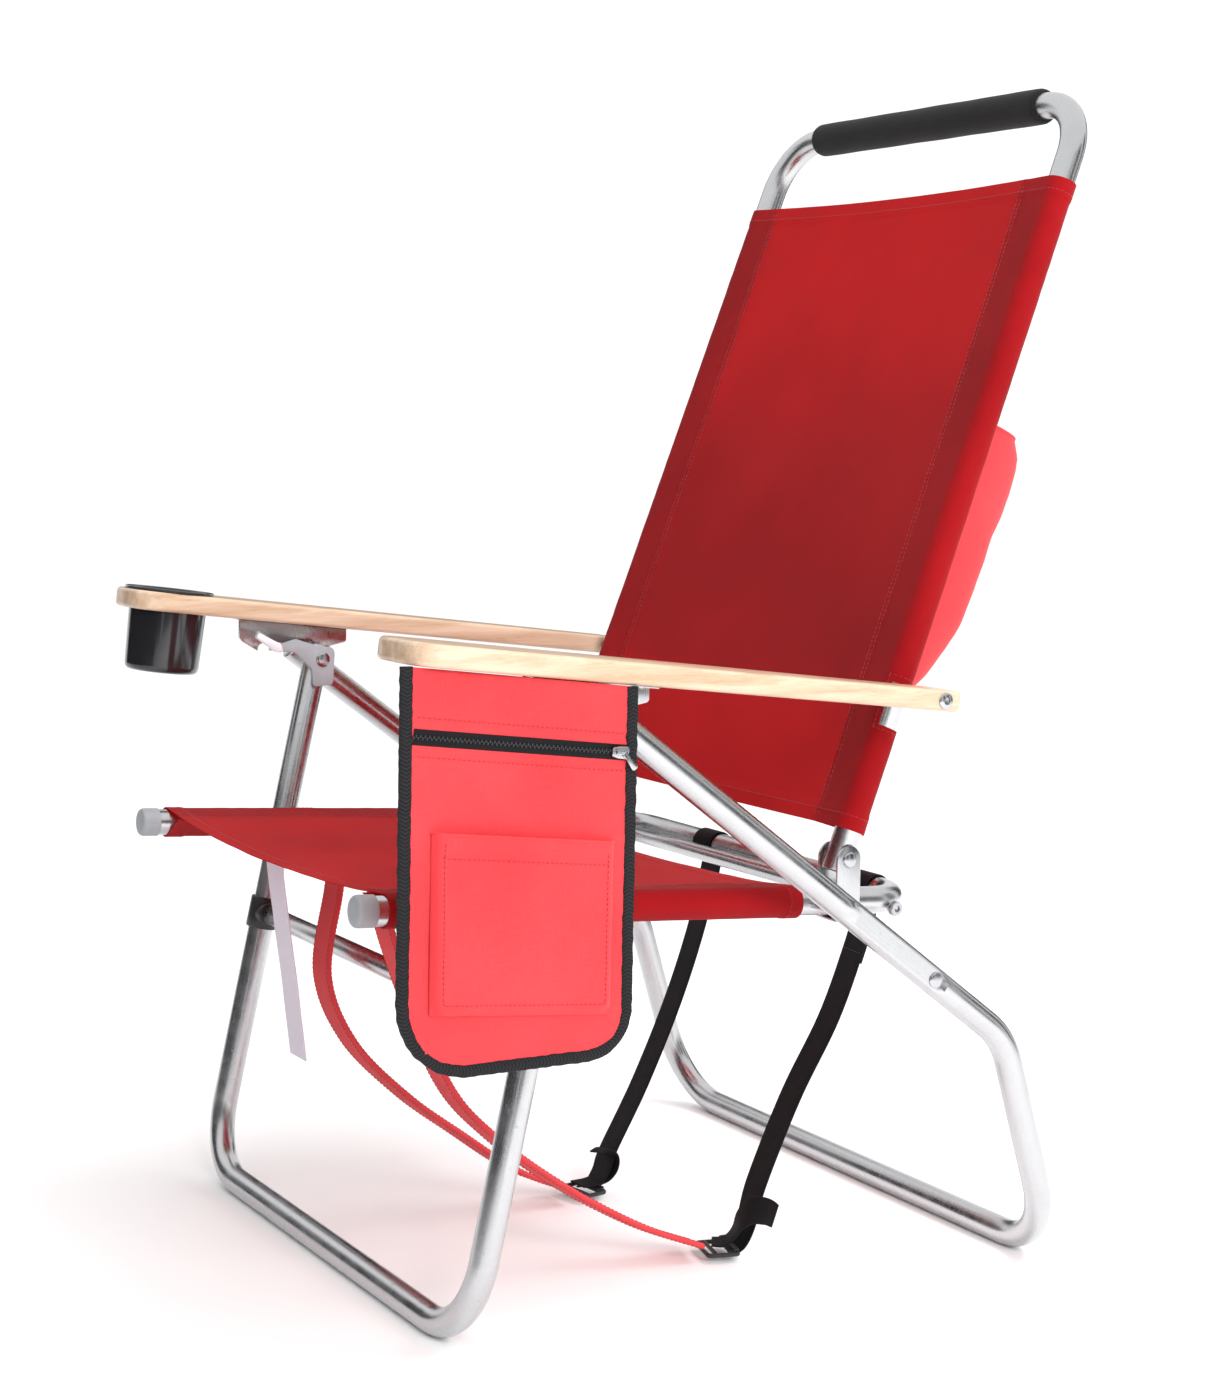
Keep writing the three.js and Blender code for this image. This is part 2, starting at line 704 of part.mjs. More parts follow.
// ---------- straps ----------
const STRAP = { width: 40, thickness: 4 };
const WEBBING = { width: 32, thickness: 1.8 };
const BUCKLE = { width: 44, length: 34, height: 8 };

// hand-chosen routes, [x, y, z]: front runs from the seat's front edge to the buckle,
// and rear runs from the loop on the seat's rear bar to the buckle's rear side
const STRAPS = {
  left: {
    front: [
      [100, -292, 371],
      [102, -276, 308],
      [107, -229, 190],
      [117, -183, 133],
      [130, -115, 80],
      [145, -42, 37],
      [157, 18, 13],
    ],
    rear: [
      [185, 184, 330],
      [184, 171, 287],
      [181, 146, 221],
      [178, 107, 150],
      [173, 74, 70],
      [168, 60, 13],
    ],
    buckle: [163, 38, 8],
  },
  right: {
    front: [
      [-78, -246, 369],
      [-77, -252, 328],
      [-74, -264, 250],
      [-69, -238, 184],
      [-62, -184, 127],
      [-56, -128, 84],
      [-51, -66, 40],
      [-48, -6, 13],
    ],
    rear: [
      [-87, 184, 330],
      [-84, 166, 263],
      [-78, 134, 185],
      [-71, 92, 105],
      [-62, 50, 42],
      [-57, 36, 13],
    ],
    buckle: [-52, 14, 8],
  },
};

// a flat band along a smooth line through its points
function band(points, { width, thickness }, steps) {
  const curve = new THREE.CatmullRomCurve3(points.map((p) => new THREE.Vector3(...p)));
  const path = curve.getPoints(steps);
  const [w, t] = [width / 2, thickness / 2];
  const section = [
    [w, t],
    [-w, t],
    [-w, -t],
    [w, -t],
  ];
  return sweep(path, section, ACROSS);
}

function rearWebbing(route) {
  const [x] = route[0];
  const half = WEBBING.width / 2;
  const ring = barAcross(x - half, x + half, SEAT_REAR, ROUND_TUBE + 1.8, SIDES);
  const bore = barAcross(x - half - 2, x + half + 2, SEAT_REAR, ROUND_TUBE, SIDES);
  return cut(join(ring, band(route, WEBBING, 11)), bore);
}

for (const side of SIDE_NAMES) {
  const { front, rear, buckle } = STRAPS[side];
  add(`shoulder_strap_${side}`, band(front, STRAP, 14), redCloth);
  add(`strap_webbing_${side}`, rearWebbing(rear), blackWebbing);
  const body = new THREE.BoxGeometry(BUCKLE.width, BUCKLE.length, BUCKLE.height);
  add(`strap_buckle_${side}`, body, blackPlastic).position.set(...buckle);
}

const CLOSING_STRAP = [
  [-120, -297, 371],
  [-120, -292, 330],
  [-120, -280, 250],
  [-120, -268, 160],
];
add("closing_strap", band(CLOSING_STRAP, { width: 38, thickness: 2 }, 6), paleWebbing);

export default chair;
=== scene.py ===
"""Looks of a folding beach chair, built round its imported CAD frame.

Shapes below are in millimetres in the shared frame, and MM turns them into Blender's metres.
A side-view point is (y, z). +Z is up, the sitter faces -Y, and +X is the sitter's left.
"""

import json
import math

import bmesh
import bpy
import numpy as np
from mathutils import Matrix, Vector, noise
from mathutils.geometry import delaunay_2d_cdt


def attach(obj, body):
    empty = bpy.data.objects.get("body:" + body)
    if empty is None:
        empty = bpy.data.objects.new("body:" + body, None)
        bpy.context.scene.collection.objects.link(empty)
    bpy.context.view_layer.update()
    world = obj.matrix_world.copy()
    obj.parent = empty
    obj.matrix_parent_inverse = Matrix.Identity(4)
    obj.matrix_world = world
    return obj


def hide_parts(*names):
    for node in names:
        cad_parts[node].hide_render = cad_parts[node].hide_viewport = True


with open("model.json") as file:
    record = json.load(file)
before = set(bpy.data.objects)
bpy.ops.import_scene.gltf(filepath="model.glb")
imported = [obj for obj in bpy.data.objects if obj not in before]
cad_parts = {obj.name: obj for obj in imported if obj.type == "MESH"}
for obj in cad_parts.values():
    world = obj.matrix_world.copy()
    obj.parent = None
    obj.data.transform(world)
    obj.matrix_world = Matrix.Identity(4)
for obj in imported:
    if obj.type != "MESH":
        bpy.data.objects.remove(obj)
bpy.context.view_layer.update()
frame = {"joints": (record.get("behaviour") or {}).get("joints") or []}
MM = 0.001
ACROSS = Vector((1, 0, 0))
SIDES = (("left", 1), ("right", -1))

# ---------- places taken from the frame ----------
PIVOTS = {j["name"]: j["pos_m"] for j in frame["joints"] if "pos_m" in j}


def pivot(joint):
    _, y, z = PIVOTS[joint]
    return (y / MM, z / MM)


APEX = pivot("legs_fold")
SEAT_PIVOT = pivot("seat_fold")
CLEVIS = pivot("back_fold")
ARM_PIVOT = pivot("arms_fold")

# ---------- sizes shared with the CAD part ----------
TUBE = 12.7
FRONT_LEG_X = 287.5
REAR_LEG_X = 324.5
SEAT_X = 252.0
BACK_TOP_X = 246.0
BACK_BEND = 58.0
FRONT_FOOT = (-290.0, 12.3)
KNEE = (239.0, 224.0)
REAR_FOOT = (306.0, 12.3)
SEAT_FRONT = (-370.0, 377.5)
SEAT_REAR = (184.0, 344.3)
SLIDE_PIN = (65.8, 351.3)
BACK_TOP = (370.0, 1092.0)
CROSSBAR = (-235.5, 270.0)
CROSS_TUBE = (157.0, 340.0)
LEG_TOP = 15.0
ARM_THICKNESS = 19.0
ARM_RISE = 0.11


# ---------- geometry helpers ----------
def at(x, point):
    return Vector((x, point[0], point[1]))


def along(start, end, distance):
    length = math.dist(start, end)
    return tuple(s + (e - s) * distance / length for s, e in zip(start, end))


def back_line(height, offset=0.0):
    """A side-view point that far up the back tube from its pivot, and that far behind it."""
    length = math.dist(CLEVIS, BACK_TOP)
    dy, dz = (BACK_TOP[0] - CLEVIS[0]) / length, (BACK_TOP[1] - CLEVIS[1]) / length
    y, z = along(CLEVIS, BACK_TOP, height)
    return (y + dz * offset, z - dy * offset)


def back_x(z):
    share = (z - CLEVIS[1]) / (BACK_TOP[1] - CLEVIS[1])
    return SEAT_X + (BACK_TOP_X - SEAT_X) * share


def arm_mid(y):
    return ARM_PIVOT[1] + ARM_RISE * (ARM_PIVOT[0] - y)


def arm_under(y):
    return arm_mid(y) - ARM_THICKNESS / 2 * math.hypot(1, ARM_RISE)


def rounded(points, radii, steps=14):
    """The line through points with each inner corner rounded to its radius."""
    path = [points[0]]
    for before, corner, after, radius in zip(points, points[1:], points[2:], radii):
        incoming = (corner - before).normalized()
        outgoing = (after - corner).normalized()
        turn = incoming.angle(outgoing)
        start = corner - incoming * radius * math.tan(turn / 2)
        inward = (outgoing - incoming * outgoing.dot(incoming)).normalized()
        for k in range(steps + 1):
            angle = turn * k / steps
            path.append(start + (incoming * math.sin(angle) + inward * (1 - math.cos(angle))) * radius)
    path.append(points[-1])
    return path


def smooth_line(points, steps=12):
    """A Catmull-Rom line through the points."""
    p = [Vector(q) for q in points]
    p = [p[0] * 2 - p[1], *p, p[-1] * 2 - p[-2]]
    line = []
    for a, b, c, d in zip(p, p[1:], p[2:], p[3:]):
        for k in range(steps):
            t = k / steps
            curve = (2 * a - 5 * b + 4 * c - d) * t**2 + (3 * b - a - 3 * c + d) * t**3
            line.append(0.5 * (2 * b + (c - a) * t + curve))
    line.append(p[-2])
    return line


def length_of(line):
    return sum((b - a).length for a, b in zip(line, line[1:]))


def resample(line, step):
    """Points a step apart along a line."""
    count = max(int(length_of(line) / step), 1)
    lengths = np.cumsum([0] + [(b - a).length for a, b in zip(line, line[1:])])
    targets = np.linspace(0, lengths[-1], count + 1)
    coords = np.array([tuple(q) for q in line])
    columns = [np.interp(targets, lengths, coords[:, k]) for k in range(3)]
    return [Vector(q) for q in np.stack(columns, axis=1)]


def circle(radius, sides=40):
    angles = [2 * math.pi * i / sides for i in range(sides)]
    return [(radius * math.cos(a), radius * math.sin(a)) for a in angles]


def flat_section(width, thickness):
    """A flat band's outline with rounded edges."""
    half, r = width / 2 - thickness / 2, thickness / 2
    right = [(half + r * math.sin(a), r * math.cos(a)) for a in np.linspace(0, math.pi, 7)]
    left = [(-x, -y) for x, y in right]
    across = np.linspace(half, -half, 8)[1:-1]
    return right + [(x, -r) for x in across] + left + [(-x, r) for x in across]


def sweep(path, outline, side=ACROSS):
    """Rings of an outline carried along a path; the outline is points or a function of the ring's number."""
    rings = []
    across = Vector(side)
    for i, centre in enumerate(path):
        incoming = (centre - path[max(i - 1, 0)]).normalized()
        outgoing = (path[min(i + 1, len(path) - 1)] - centre).normalized()
        tangent = (incoming + outgoing).normalized()
        across = (across - tangent * across.dot(tangent)).normalized()
        over = tangent.cross(across)
        shape = outline(i) if callable(outline) else outline
        rings.append([centre + across * a + over * b for a, b in shape])
    return rings


def skin(rings, closed=True, loop=False, sharp=38):
    """A mesh through rings of points, with a UV map in metres: u round the ring and v along the rings."""
    n, m = len(rings), len(rings[0])
    verts = [tuple(p * MM) for ring in rings for p in ring]
    coords = np.array(verts).reshape(n, m, 3)
    round_steps = np.linalg.norm(np.diff(np.concatenate([coords, coords[:, :1]], axis=1), axis=1), axis=2)
    ring_steps = np.linalg.norm(np.diff(coords, axis=0), axis=2)
    u = np.concatenate([[0], np.cumsum(round_steps.mean(axis=0))])
    v = np.concatenate([[0], np.cumsum(ring_steps.mean(axis=1))])
    faces, uvs = [], []
    for i in range(n if loop else n - 1):
        ahead = (i + 1) % n
        v_next = v[i + 1] if i + 1 < n else v[i] + (v[1] - v[0])
        for j in range(m if closed else m - 1):
            k = (j + 1) % m
            faces.append((i * m + j, i * m + k, ahead * m + k, ahead * m + j))
            uvs += [(u[j], v[i]), (u[j + 1], v[i]), (u[j + 1], v_next), (u[j], v_next)]
    if closed and not loop:
        for i, order in ((0, range(m - 1, -1, -1)), (n - 1, range(m))):
            faces.append(tuple(i * m + j for j in order))
            uvs += [(u[j], v[i]) for j in order]
    mesh = bpy.data.meshes.new("skin")
    mesh.from_pydata(verts, [], faces)
    layer = mesh.uv_layers.new(name="metres")
    layer.data.foreach_set("uv", np.array(uvs, np.float32).ravel())
    tidy(mesh, sharp)
    return mesh


def tidy(mesh, sharp=38):
    """Consistent outward normals and smooth shading that keeps edges sharper than the angle."""
    bm = bmesh.new()
    bm.from_mesh(mesh)
    bmesh.ops.recalc_face_normals(bm, faces=bm.faces)
    bm.to_mesh(mesh)
    bm.free()
    mesh.polygons.foreach_set("use_smooth", [True] * len(mesh.polygons))
    mesh.set_sharp_from_angle(angle=math.radians(sharp))
    mesh.update()


def piece(name, mesh, material, body, replaces=()):
    """Places a finished mesh as a named piece that rides on a CAD body."""
    mesh.name = name
    mesh.materials.append(material)
    obj = bpy.data.objects.new(name, mesh)
    bpy.context.scene.collection.objects.link(obj)
    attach(obj, body)
    if replaces:
        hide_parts(*replaces)
    return obj


def with_modifier(mesh, kind, **settings):
    """The mesh after one modifier."""
    obj = bpy.data.objects.new("work", mesh)
    bpy.context.scene.collection.objects.link(obj)
    modifier = obj.modifiers.new("work", kind)
    for key, value in settings.items():
        setattr(modifier, key, value)
    graph = bpy.context.evaluated_depsgraph_get()
    graph.update()
    made = bpy.data.meshes.new_from_object(obj.evaluated_get(graph))
    bpy.data.objects.remove(obj)
    return made


def thick(mesh, thickness, offset=0.0):
    """Gives an open sheet its cloth thickness, in mm."""
    return with_modifier(mesh, "SOLIDIFY", thickness=thickness * MM, offset=offset, use_even_offset=True)


def merged(meshes):
    """One mesh from several."""
    bm = bmesh.new()
    for mesh in meshes:
        bm.from_mesh(mesh)
    out = bpy.data.meshes.new("merged")
    bm.to_mesh(out)
    bm.free()
    tidy(out)
    return out


def rod_mesh(path, radius, sides=40):
    """A round bar along a path, with eased ends."""
    start, end = (path[1] - path[0]).normalized(), (path[-2] - path[-1]).normalized()
    ease = ((0.0, 1.3), (0.35, 0.5), (1.3, 0.0))
    line = [path[0] + start * d for d, _ in ease] + list(path[1:-1])
    line += [path[-1] + end * d for d, _ in ease[::-1]]
    inset = [r for _, r in ease] + [0.0] * (len(path) - 2) + [r for _, r in ease[::-1]]
    side = (0, 0, 1) if abs(start.x) > 0.9 else ACROSS
    return skin(sweep(line, lambda i: circle(radius - inset[i], sides), side))


def turned_mesh(profile, point, sign=1):
    """A turned piece round an axis across the chair: profile is (distance from the middle plane, radius)."""
    rings = []
    for x, radius in profile:
        rings.append([at(sign * x, (point[0] + a, point[1] + b)) for a, b in circle(max(radius, 0.01))])
    return skin(rings, sharp=30)


def turned_pair(name, profile, point, material, body, node):
    """The same turned piece at both sides of the chair."""
    for side, sign in SIDES:
        piece(f"{name}_{side}", turned_mesh(profile, point, sign), material, body, [f"{node}_{side}"])


def plate_mesh(outline, place, depth, bevel=0.6, segments=2):
    """A plate cut from an outline; place turns (u, v, w) into a point, and w runs from 0 to depth."""
    bm = bmesh.new()
    uv = bm.loops.layers.uv.new("metres")
    low = [bm.verts.new(place(u, v, 0) * MM) for u, v in outline]
    high = [bm.verts.new(place(u, v, depth) * MM) for u, v in outline]
    faces = [bm.faces.new(low[::-1]), bm.faces.new(high)]
    for i in range(len(outline)):
        j = (i + 1) % len(outline)
        faces.append(bm.faces.new((low[i], low[j], high[j], high[i])))
    flat = {v: p for v, p in zip(low + high, outline + outline)}
    for face in faces:
        for loop in face.loops:
            loop[uv].uv = Vector(flat[loop.vert]) * MM
    bmesh.ops.recalc_face_normals(bm, faces=bm.faces)
    mesh = bpy.data.meshes.new("plate")
    bm.to_mesh(mesh)
    bm.free()
    limit = {"limit_method": "ANGLE", "angle_limit": math.radians(40)}
    mesh = with_modifier(mesh, "BEVEL", width=bevel * MM, segments=segments, **limit)
    tidy(mesh, 45)
    return mesh


def corners(points, steps=6):
    """An outline with rounded corners: points are (u, v, radius)."""
    outline = []
    for previous, here, following in zip(points[-1:] + points[:-1], points, points[1:] + points[:1]):
        corner, radius = Vector(here[:2]), here[2]
        if not radius:
            outline.append(here[:2])
            continue
        before = (Vector(previous[:2]) - corner).normalized()
        after = (Vector(following[:2]) - corner).normalized()
        reach = radius / math.tan(before.angle(after) / 2)
        start, end = corner + before * reach, corner + after * reach
        for k in range(steps + 1):
            t = k / steps
            outline.append(tuple((1 - t) ** 2 * start + 2 * t * (1 - t) * corner + t**2 * end))
    return outline


def side_plate(outline, x0, x1, sign=1, bevel=0.6):
    """A plate in the side view, between two distances from the middle plane."""
    return plate_mesh(outline, lambda u, v, w: Vector((sign * (x0 + w), u, v)), x1 - x0, bevel)


def stitch_mesh(line, pitch=4.4, length=3.0):
    """Thread laid in short stitches along a line."""
    radius, sides = 0.42, 6
    rings_all = []
    marks = resample(line, pitch)
    for a, b in zip(marks, marks[1:]):
        direction = (b - a).normalized()
        across = direction.cross(Vector((0.3, 0.5, 0.81))).normalized()
        over = direction.cross(across)
        middle = (a + b) / 2
        for share, swell in ((-0.5, 0.35), (-0.35, 0.9), (0, 1.0), (0.35, 0.9), (0.5, 0.35)):
            centre = middle + direction * length * share
            rings_all.append([centre + (across * c + over * s) * swell for c, s in circle(radius, sides)])
    verts, faces = [], []
    for start in range(0, len(rings_all), 5):
        base = len(verts)
        for ring in rings_all[start : start + 5]:
            verts += [tuple(p * MM) for p in ring]
        for i in range(4):
            for j in range(sides):
                k = (j + 1) % sides
                low, high = base + i * sides, base + (i + 1) * sides
                faces.append((low + j, low + k, high + k, high + j))
        faces.append(tuple(base + j for j in range(sides - 1, -1, -1)))
        faces.append(tuple(base + 4 * sides + j for j in range(sides)))
    mesh = bpy.data.meshes.new("stitches")
    mesh.from_pydata(verts, [], faces)
    mesh.uv_layers.new(name="metres")
    tidy(mesh)
    return mesh


def ripple(point, size, seed=0.0):
    """Smooth noise from -1 to 1 with features of that size in mm."""
    return noise.noise(Vector(point) / size + Vector((seed, seed * 1.7, -seed)))


# ---------- materials ----------
class Shader:
    """A Principled material with a few shortcuts for its nodes."""

    def __init__(self, name, color, roughness, metallic=0.0, **sockets):
        self.material = bpy.data.materials.new(name)
        self.material.use_nodes = True
        self.nodes = self.material.node_tree.nodes
        self.links = self.material.node_tree.links
        self.bsdf = self.nodes["Principled BSDF"]
        self.bsdf.inputs["Base Color"].default_value = (*color, 1)
        self.bsdf.inputs["Roughness"].default_value = roughness
        self.bsdf.inputs["Metallic"].default_value = metallic
        for key, value in sockets.items():
            self.bsdf.inputs[key.replace("_", " ")].default_value = value

    def node(self, kind, inputs=None, **settings):
        made = self.nodes.new(kind)
        for key, value in settings.items():
            setattr(made, key, value)
        for key, value in (inputs or {}).items():
            if isinstance(value, bpy.types.NodeSocket):
                self.links.new(value, made.inputs[key])
            else:
                made.inputs[key].default_value = value
        return made

    def uv(self, scale):
        found = self.node("ShaderNodeUVMap", uv_map="metres").outputs[0]
        return self.node("ShaderNodeMapping", {"Vector": found, "Scale": scale}).outputs[0]

    def space(self, scale):
        found = self.node("ShaderNodeTexCoord").outputs["Object"]
        return self.node("ShaderNodeMapping", {"Vector": found, "Scale": scale}).outputs[0]

    def math(self, operation, a, b=0.0):
        return self.node("ShaderNodeMath", {0: a, 1: b}, operation=operation).outputs[0]

    def noise(self, vector, scale=1.0, detail=3.0, roughness=0.55):
        settings = {"Vector": vector, "Scale": scale, "Detail": detail, "Roughness": roughness}
        return self.node("ShaderNodeTexNoise", settings).outputs["Fac"]

    def ramp(self, value, low, high, to_low=0.0, to_high=1.0):
        settings = {"Value": value, "From Min": low, "From Max": high, "To Min": to_low, "To Max": to_high}
        return self.node("ShaderNodeMapRange", settings).outputs[0]

    def tint(self, value, dark, light):
        mix = self.node("ShaderNodeMix", {0: value}, data_type="RGBA")
        mix.inputs[6].default_value = (*dark, 1)
        mix.inputs[7].default_value = (*light, 1)
        self.links.new(mix.outputs[2], self.bsdf.inputs["Base Color"])

    def set(self, socket, value):
        self.links.new(value, self.bsdf.inputs[socket])

    def bump(self, height, distance, strength=1.0, after=None):
        settings = {"Height": height, "Distance": distance, "Strength": strength}
        if after is not None:
            settings["Normal"] = after
        made = self.node("ShaderNodeBump", settings).outputs[0]
        self.set("Normal", made)
        return made


def woven(name, dark, light, yarn=0.55, depth=0.00012, sheen=0.06, glow=0.0):
    """Plain-weave cloth: crossing yarns, slubs, faint shade changes, soft creases and light from behind."""
    s = Shader(name, light, 0.82, Sheen_Weight=sheen, Sheen_Roughness=0.45, Specular_IOR_Level=0.22)
    turns = math.pi / (yarn * MM)
    parts = s.node("ShaderNodeSeparateXYZ", {0: s.uv((1, 1, 1))}).outputs
    warp = s.math("SINE", s.math("MULTIPLY", parts[0], turns))
    weft = s.math("SINE", s.math("MULTIPLY", parts[1], turns))
    weave = s.ramp(s.math("MULTIPLY", warp, weft), -1, 1)
    slubs = s.math("ADD", s.noise(s.uv((1600, 60, 1))), s.noise(s.uv((60, 1600, 1))))
    patches = s.noise(s.space((9, 9, 9)), detail=2)
    shade = s.math("ADD", s.ramp(slubs, 0.6, 1.4, 0, 0.5), s.ramp(patches, 0.3, 0.7, 0, 0.35))
    s.tint(s.math("ADD", shade, s.math("MULTIPLY", weave, 0.15)), dark, light)
    s.set("Roughness", s.ramp(slubs, 0.6, 1.4, 0.72, 0.9))
    creases = s.bump(s.noise(s.space((38, 38, 38)), detail=4), 0.0016, 0.35)
    s.bump(s.math("ADD", weave, s.math("MULTIPLY", slubs, 0.5)), depth, 0.8, creases)
    if glow:
        through = s.node("ShaderNodeBsdfTranslucent", {"Color": (0.88, 0.045, 0.036, 1)}).outputs[0]
        mix = s.node("ShaderNodeMixShader", {0: glow, 1: s.bsdf.outputs[0], 2: through}).outputs[0]
        s.links.new(mix, s.nodes["Material Output"].inputs["Surface"])
    return s.material


def brushed(name, color, roughness=0.2, streak=0.10):
    """Drawn and polished metal: fine lines along the tube, cloudy polish and a few handling marks."""
    s = Shader(name, color, roughness, 1.0)
    lines = s.noise(s.uv((2600, 7, 1)), detail=5, roughness=0.7)
    clouds = s.noise(s.space((22, 22, 22)), detail=4)
    marks = s.ramp(s.noise(s.space((160, 160, 160)), detail=6), 0.62, 0.72)
    worn = s.math("ADD", s.ramp(clouds, 0.35, 0.7, -0.04, 0.07), s.math("MULTIPLY", marks, 0.12))
    drawn = s.ramp(lines, 0.3, 0.7, roughness - streak / 2, roughness + streak / 2)
    s.set("Roughness", s.math("ADD", drawn, worn))
    s.tint(s.ramp(clouds, 0.3, 0.75), tuple(c * 0.9 for c in color), color)
    s.bump(lines, 0.00003, 0.6)
    return s.material


def moulded(name, color, roughness, coat=0.0):
    """Moulded plastic: fine grain, uneven gloss and faint rubbed patches."""
    s = Shader(name, color, roughness, Coat_Weight=coat, Coat_Roughness=0.08)
    fine = s.noise(s.space((900, 900, 900)), detail=3)
    rubbed = s.noise(s.space((30, 30, 30)), detail=5)
    s.set("Roughness", s.ramp(rubbed, 0.3, 0.75, roughness - 0.05, roughness + 0.1))
    s.tint(s.ramp(rubbed, 0.3, 0.8), color, tuple(min(c * 1.25 + 0.004, 1) for c in color))
    s.bump(fine, 0.00004, 0.5)
    return s.material


def varnished_maple():
    """Pale maple with long wavy grain, flecks and a clear satin coat."""
    s = Shader("maple", (0.76, 0.55, 0.36), 0.42, Coat_Weight=0.5, Coat_Roughness=0.2)
    wander = s.noise(s.space((9, 1.6, 9)), detail=3)
    spread = s.node("ShaderNodeVectorMath", {0: s.space((70, 3.2, 70)), 1: (0, 0, 0)}, operation="ADD")
    aside, upward = s.math("MULTIPLY", wander, 5.0), s.math("MULTIPLY", wander, 3.0)
    bend = s.node("ShaderNodeCombineXYZ", {0: aside, 2: upward})
    s.links.new(bend.outputs[0], spread.inputs[1])
    rings = s.noise(spread.outputs[0], scale=1.0, detail=5, roughness=0.62)
    pores = s.noise(s.space((900, 26, 900)), detail=4, roughness=0.7)
    flecks = s.ramp(s.noise(s.space((420, 42, 420)), detail=3), 0.6, 0.7)
    shade = s.math("ADD", s.ramp(rings, 0.34, 0.66, 0.1, 0.9), s.math("MULTIPLY", flecks, -0.18))
    shade = s.math("ADD", shade, s.ramp(pores, 0.3, 0.7, -0.14, 0.14))
    s.tint(shade, (0.44, 0.275, 0.165), (0.68, 0.52, 0.385))
    s.set("Roughness", s.ramp(pores, 0.35, 0.65, 0.34, 0.5))
    s.bump(s.math("ADD", pores, s.math("MULTIPLY", rings, 0.6)), 0.00007, 0.7)
    return s.material


def closed_cell_foam():
    """Black foam rubber: tiny open pores, dull with a greyer worn bloom."""
    surface = {"Sheen_Weight": 0.03, "Sheen_Roughness": 0.6, "Specular_IOR_Level": 0.3}
    s = Shader("foam", (0.010, 0.010, 0.011), 0.85, **surface)
    pores = s.node("ShaderNodeTexVoronoi", {"Vector": s.space((1, 1, 1)), "Scale": 620.0}).outputs[0]
    bloom = s.noise(s.space((35, 35, 35)), detail=5)
    s.tint(s.ramp(bloom, 0.35, 0.75), (0.005, 0.005, 0.006), (0.014, 0.014, 0.015))
    s.set("Roughness", s.ramp(bloom, 0.3, 0.7, 0.75, 0.92))
    s.bump(s.math("ADD", pores, s.math("MULTIPLY", bloom, 0.8)), 0.00035, 0.7)
    return s.material


def webbing_tape(name, dark, light, rib=1.5, sheen=0.04):
    """Woven tape: ribs across its length, a herringbone break down the middle and fuzzy yarns."""
    s = Shader(name, light, 0.7, Sheen_Weight=sheen, Sheen_Roughness=0.5, Specular_IOR_Level=0.25)
    parts = s.node("ShaderNodeSeparateXYZ", {0: s.uv((1, 1, 1))}).outputs
    turns = 2 * math.pi / (rib * MM)
    slant = s.math("ABSOLUTE", s.math("SUBTRACT", s.math("FRACT", s.math("MULTIPLY", parts[0], 90.0)), 0.5))
    phase = s.math("ADD", s.math("MULTIPLY", parts[1], turns), s.math("MULTIPLY", slant, 12.0))
    ribs = s.ramp(s.math("SINE", phase), -1, 1)
    fuzz = s.noise(s.uv((1800, 300, 1)), detail=3)
    s.tint(s.math("ADD", s.math("MULTIPLY", ribs, 0.6), s.ramp(fuzz, 0.3, 0.7, 0, 0.4)), dark, light)
    s.set("Roughness", s.ramp(fuzz, 0.3, 0.7, 0.6, 0.82))
    s.bump(s.math("ADD", ribs, s.math("MULTIPLY", fuzz, 0.4)), 0.00022, 0.8)
    return s.material


def thread(name, color):
    """Twisted sewing thread."""
    s = Shader(name, color, 0.6, Sheen_Weight=0.2)
    twist = s.noise(s.space((2400, 2400, 2400)), detail=2)
    s.tint(twist, tuple(c * 0.7 for c in color), color)
    s.bump(twist, 0.00008, 0.8)
    return s.material


RED = woven("red_cloth", (0.24, 0.004, 0.007), (0.46, 0.010, 0.015), glow=0.42)
BAG_DARK, BAG_LIGHT = (0.48, 0.026, 0.032), (0.85, 0.060, 0.068)
RED_BAG = woven("red_bag_cloth", BAG_DARK, BAG_LIGHT, yarn=0.8, depth=0.0003, sheen=0.1)
RED_THREAD = thread("red_thread", (0.40, 0.008, 0.014))
BLACK_THREAD = thread("black_thread", (0.02, 0.02, 0.022))
ALUMINIUM = brushed("aluminium", (0.58, 0.585, 0.60), 0.27, 0.12)
STEEL = brushed("zinc_steel", (0.52, 0.53, 0.55), 0.24, 0.08)
MAPLE = varnished_maple()
GLOSS_BLACK = moulded("black_plastic", (0.010, 0.010, 0.012), 0.16, coat=0.4)
DULL_BLACK = moulded("dull_black_plastic", (0.016, 0.016, 0.018), 0.38)
GREY_PLASTIC = moulded("grey_plastic", (0.27, 0.28, 0.30), 0.42)
PALE_PLASTIC = moulded("pale_plastic", (0.62, 0.62, 0.65), 0.3, coat=0.2)
FOAM = closed_cell_foam()
BLACK_TAPE = webbing_tape("black_webbing", (0.002, 0.002, 0.003), (0.010, 0.010, 0.011), sheen=0.0)
PALE_TAPE = webbing_tape("pale_webbing", (0.66, 0.60, 0.68), (0.86, 0.80, 0.90), rib=0.9)
BINDING_TAPE = webbing_tape("black_binding", (0.001, 0.001, 0.002), (0.022, 0.022, 0.024), rib=3.2, sheen=0.0)


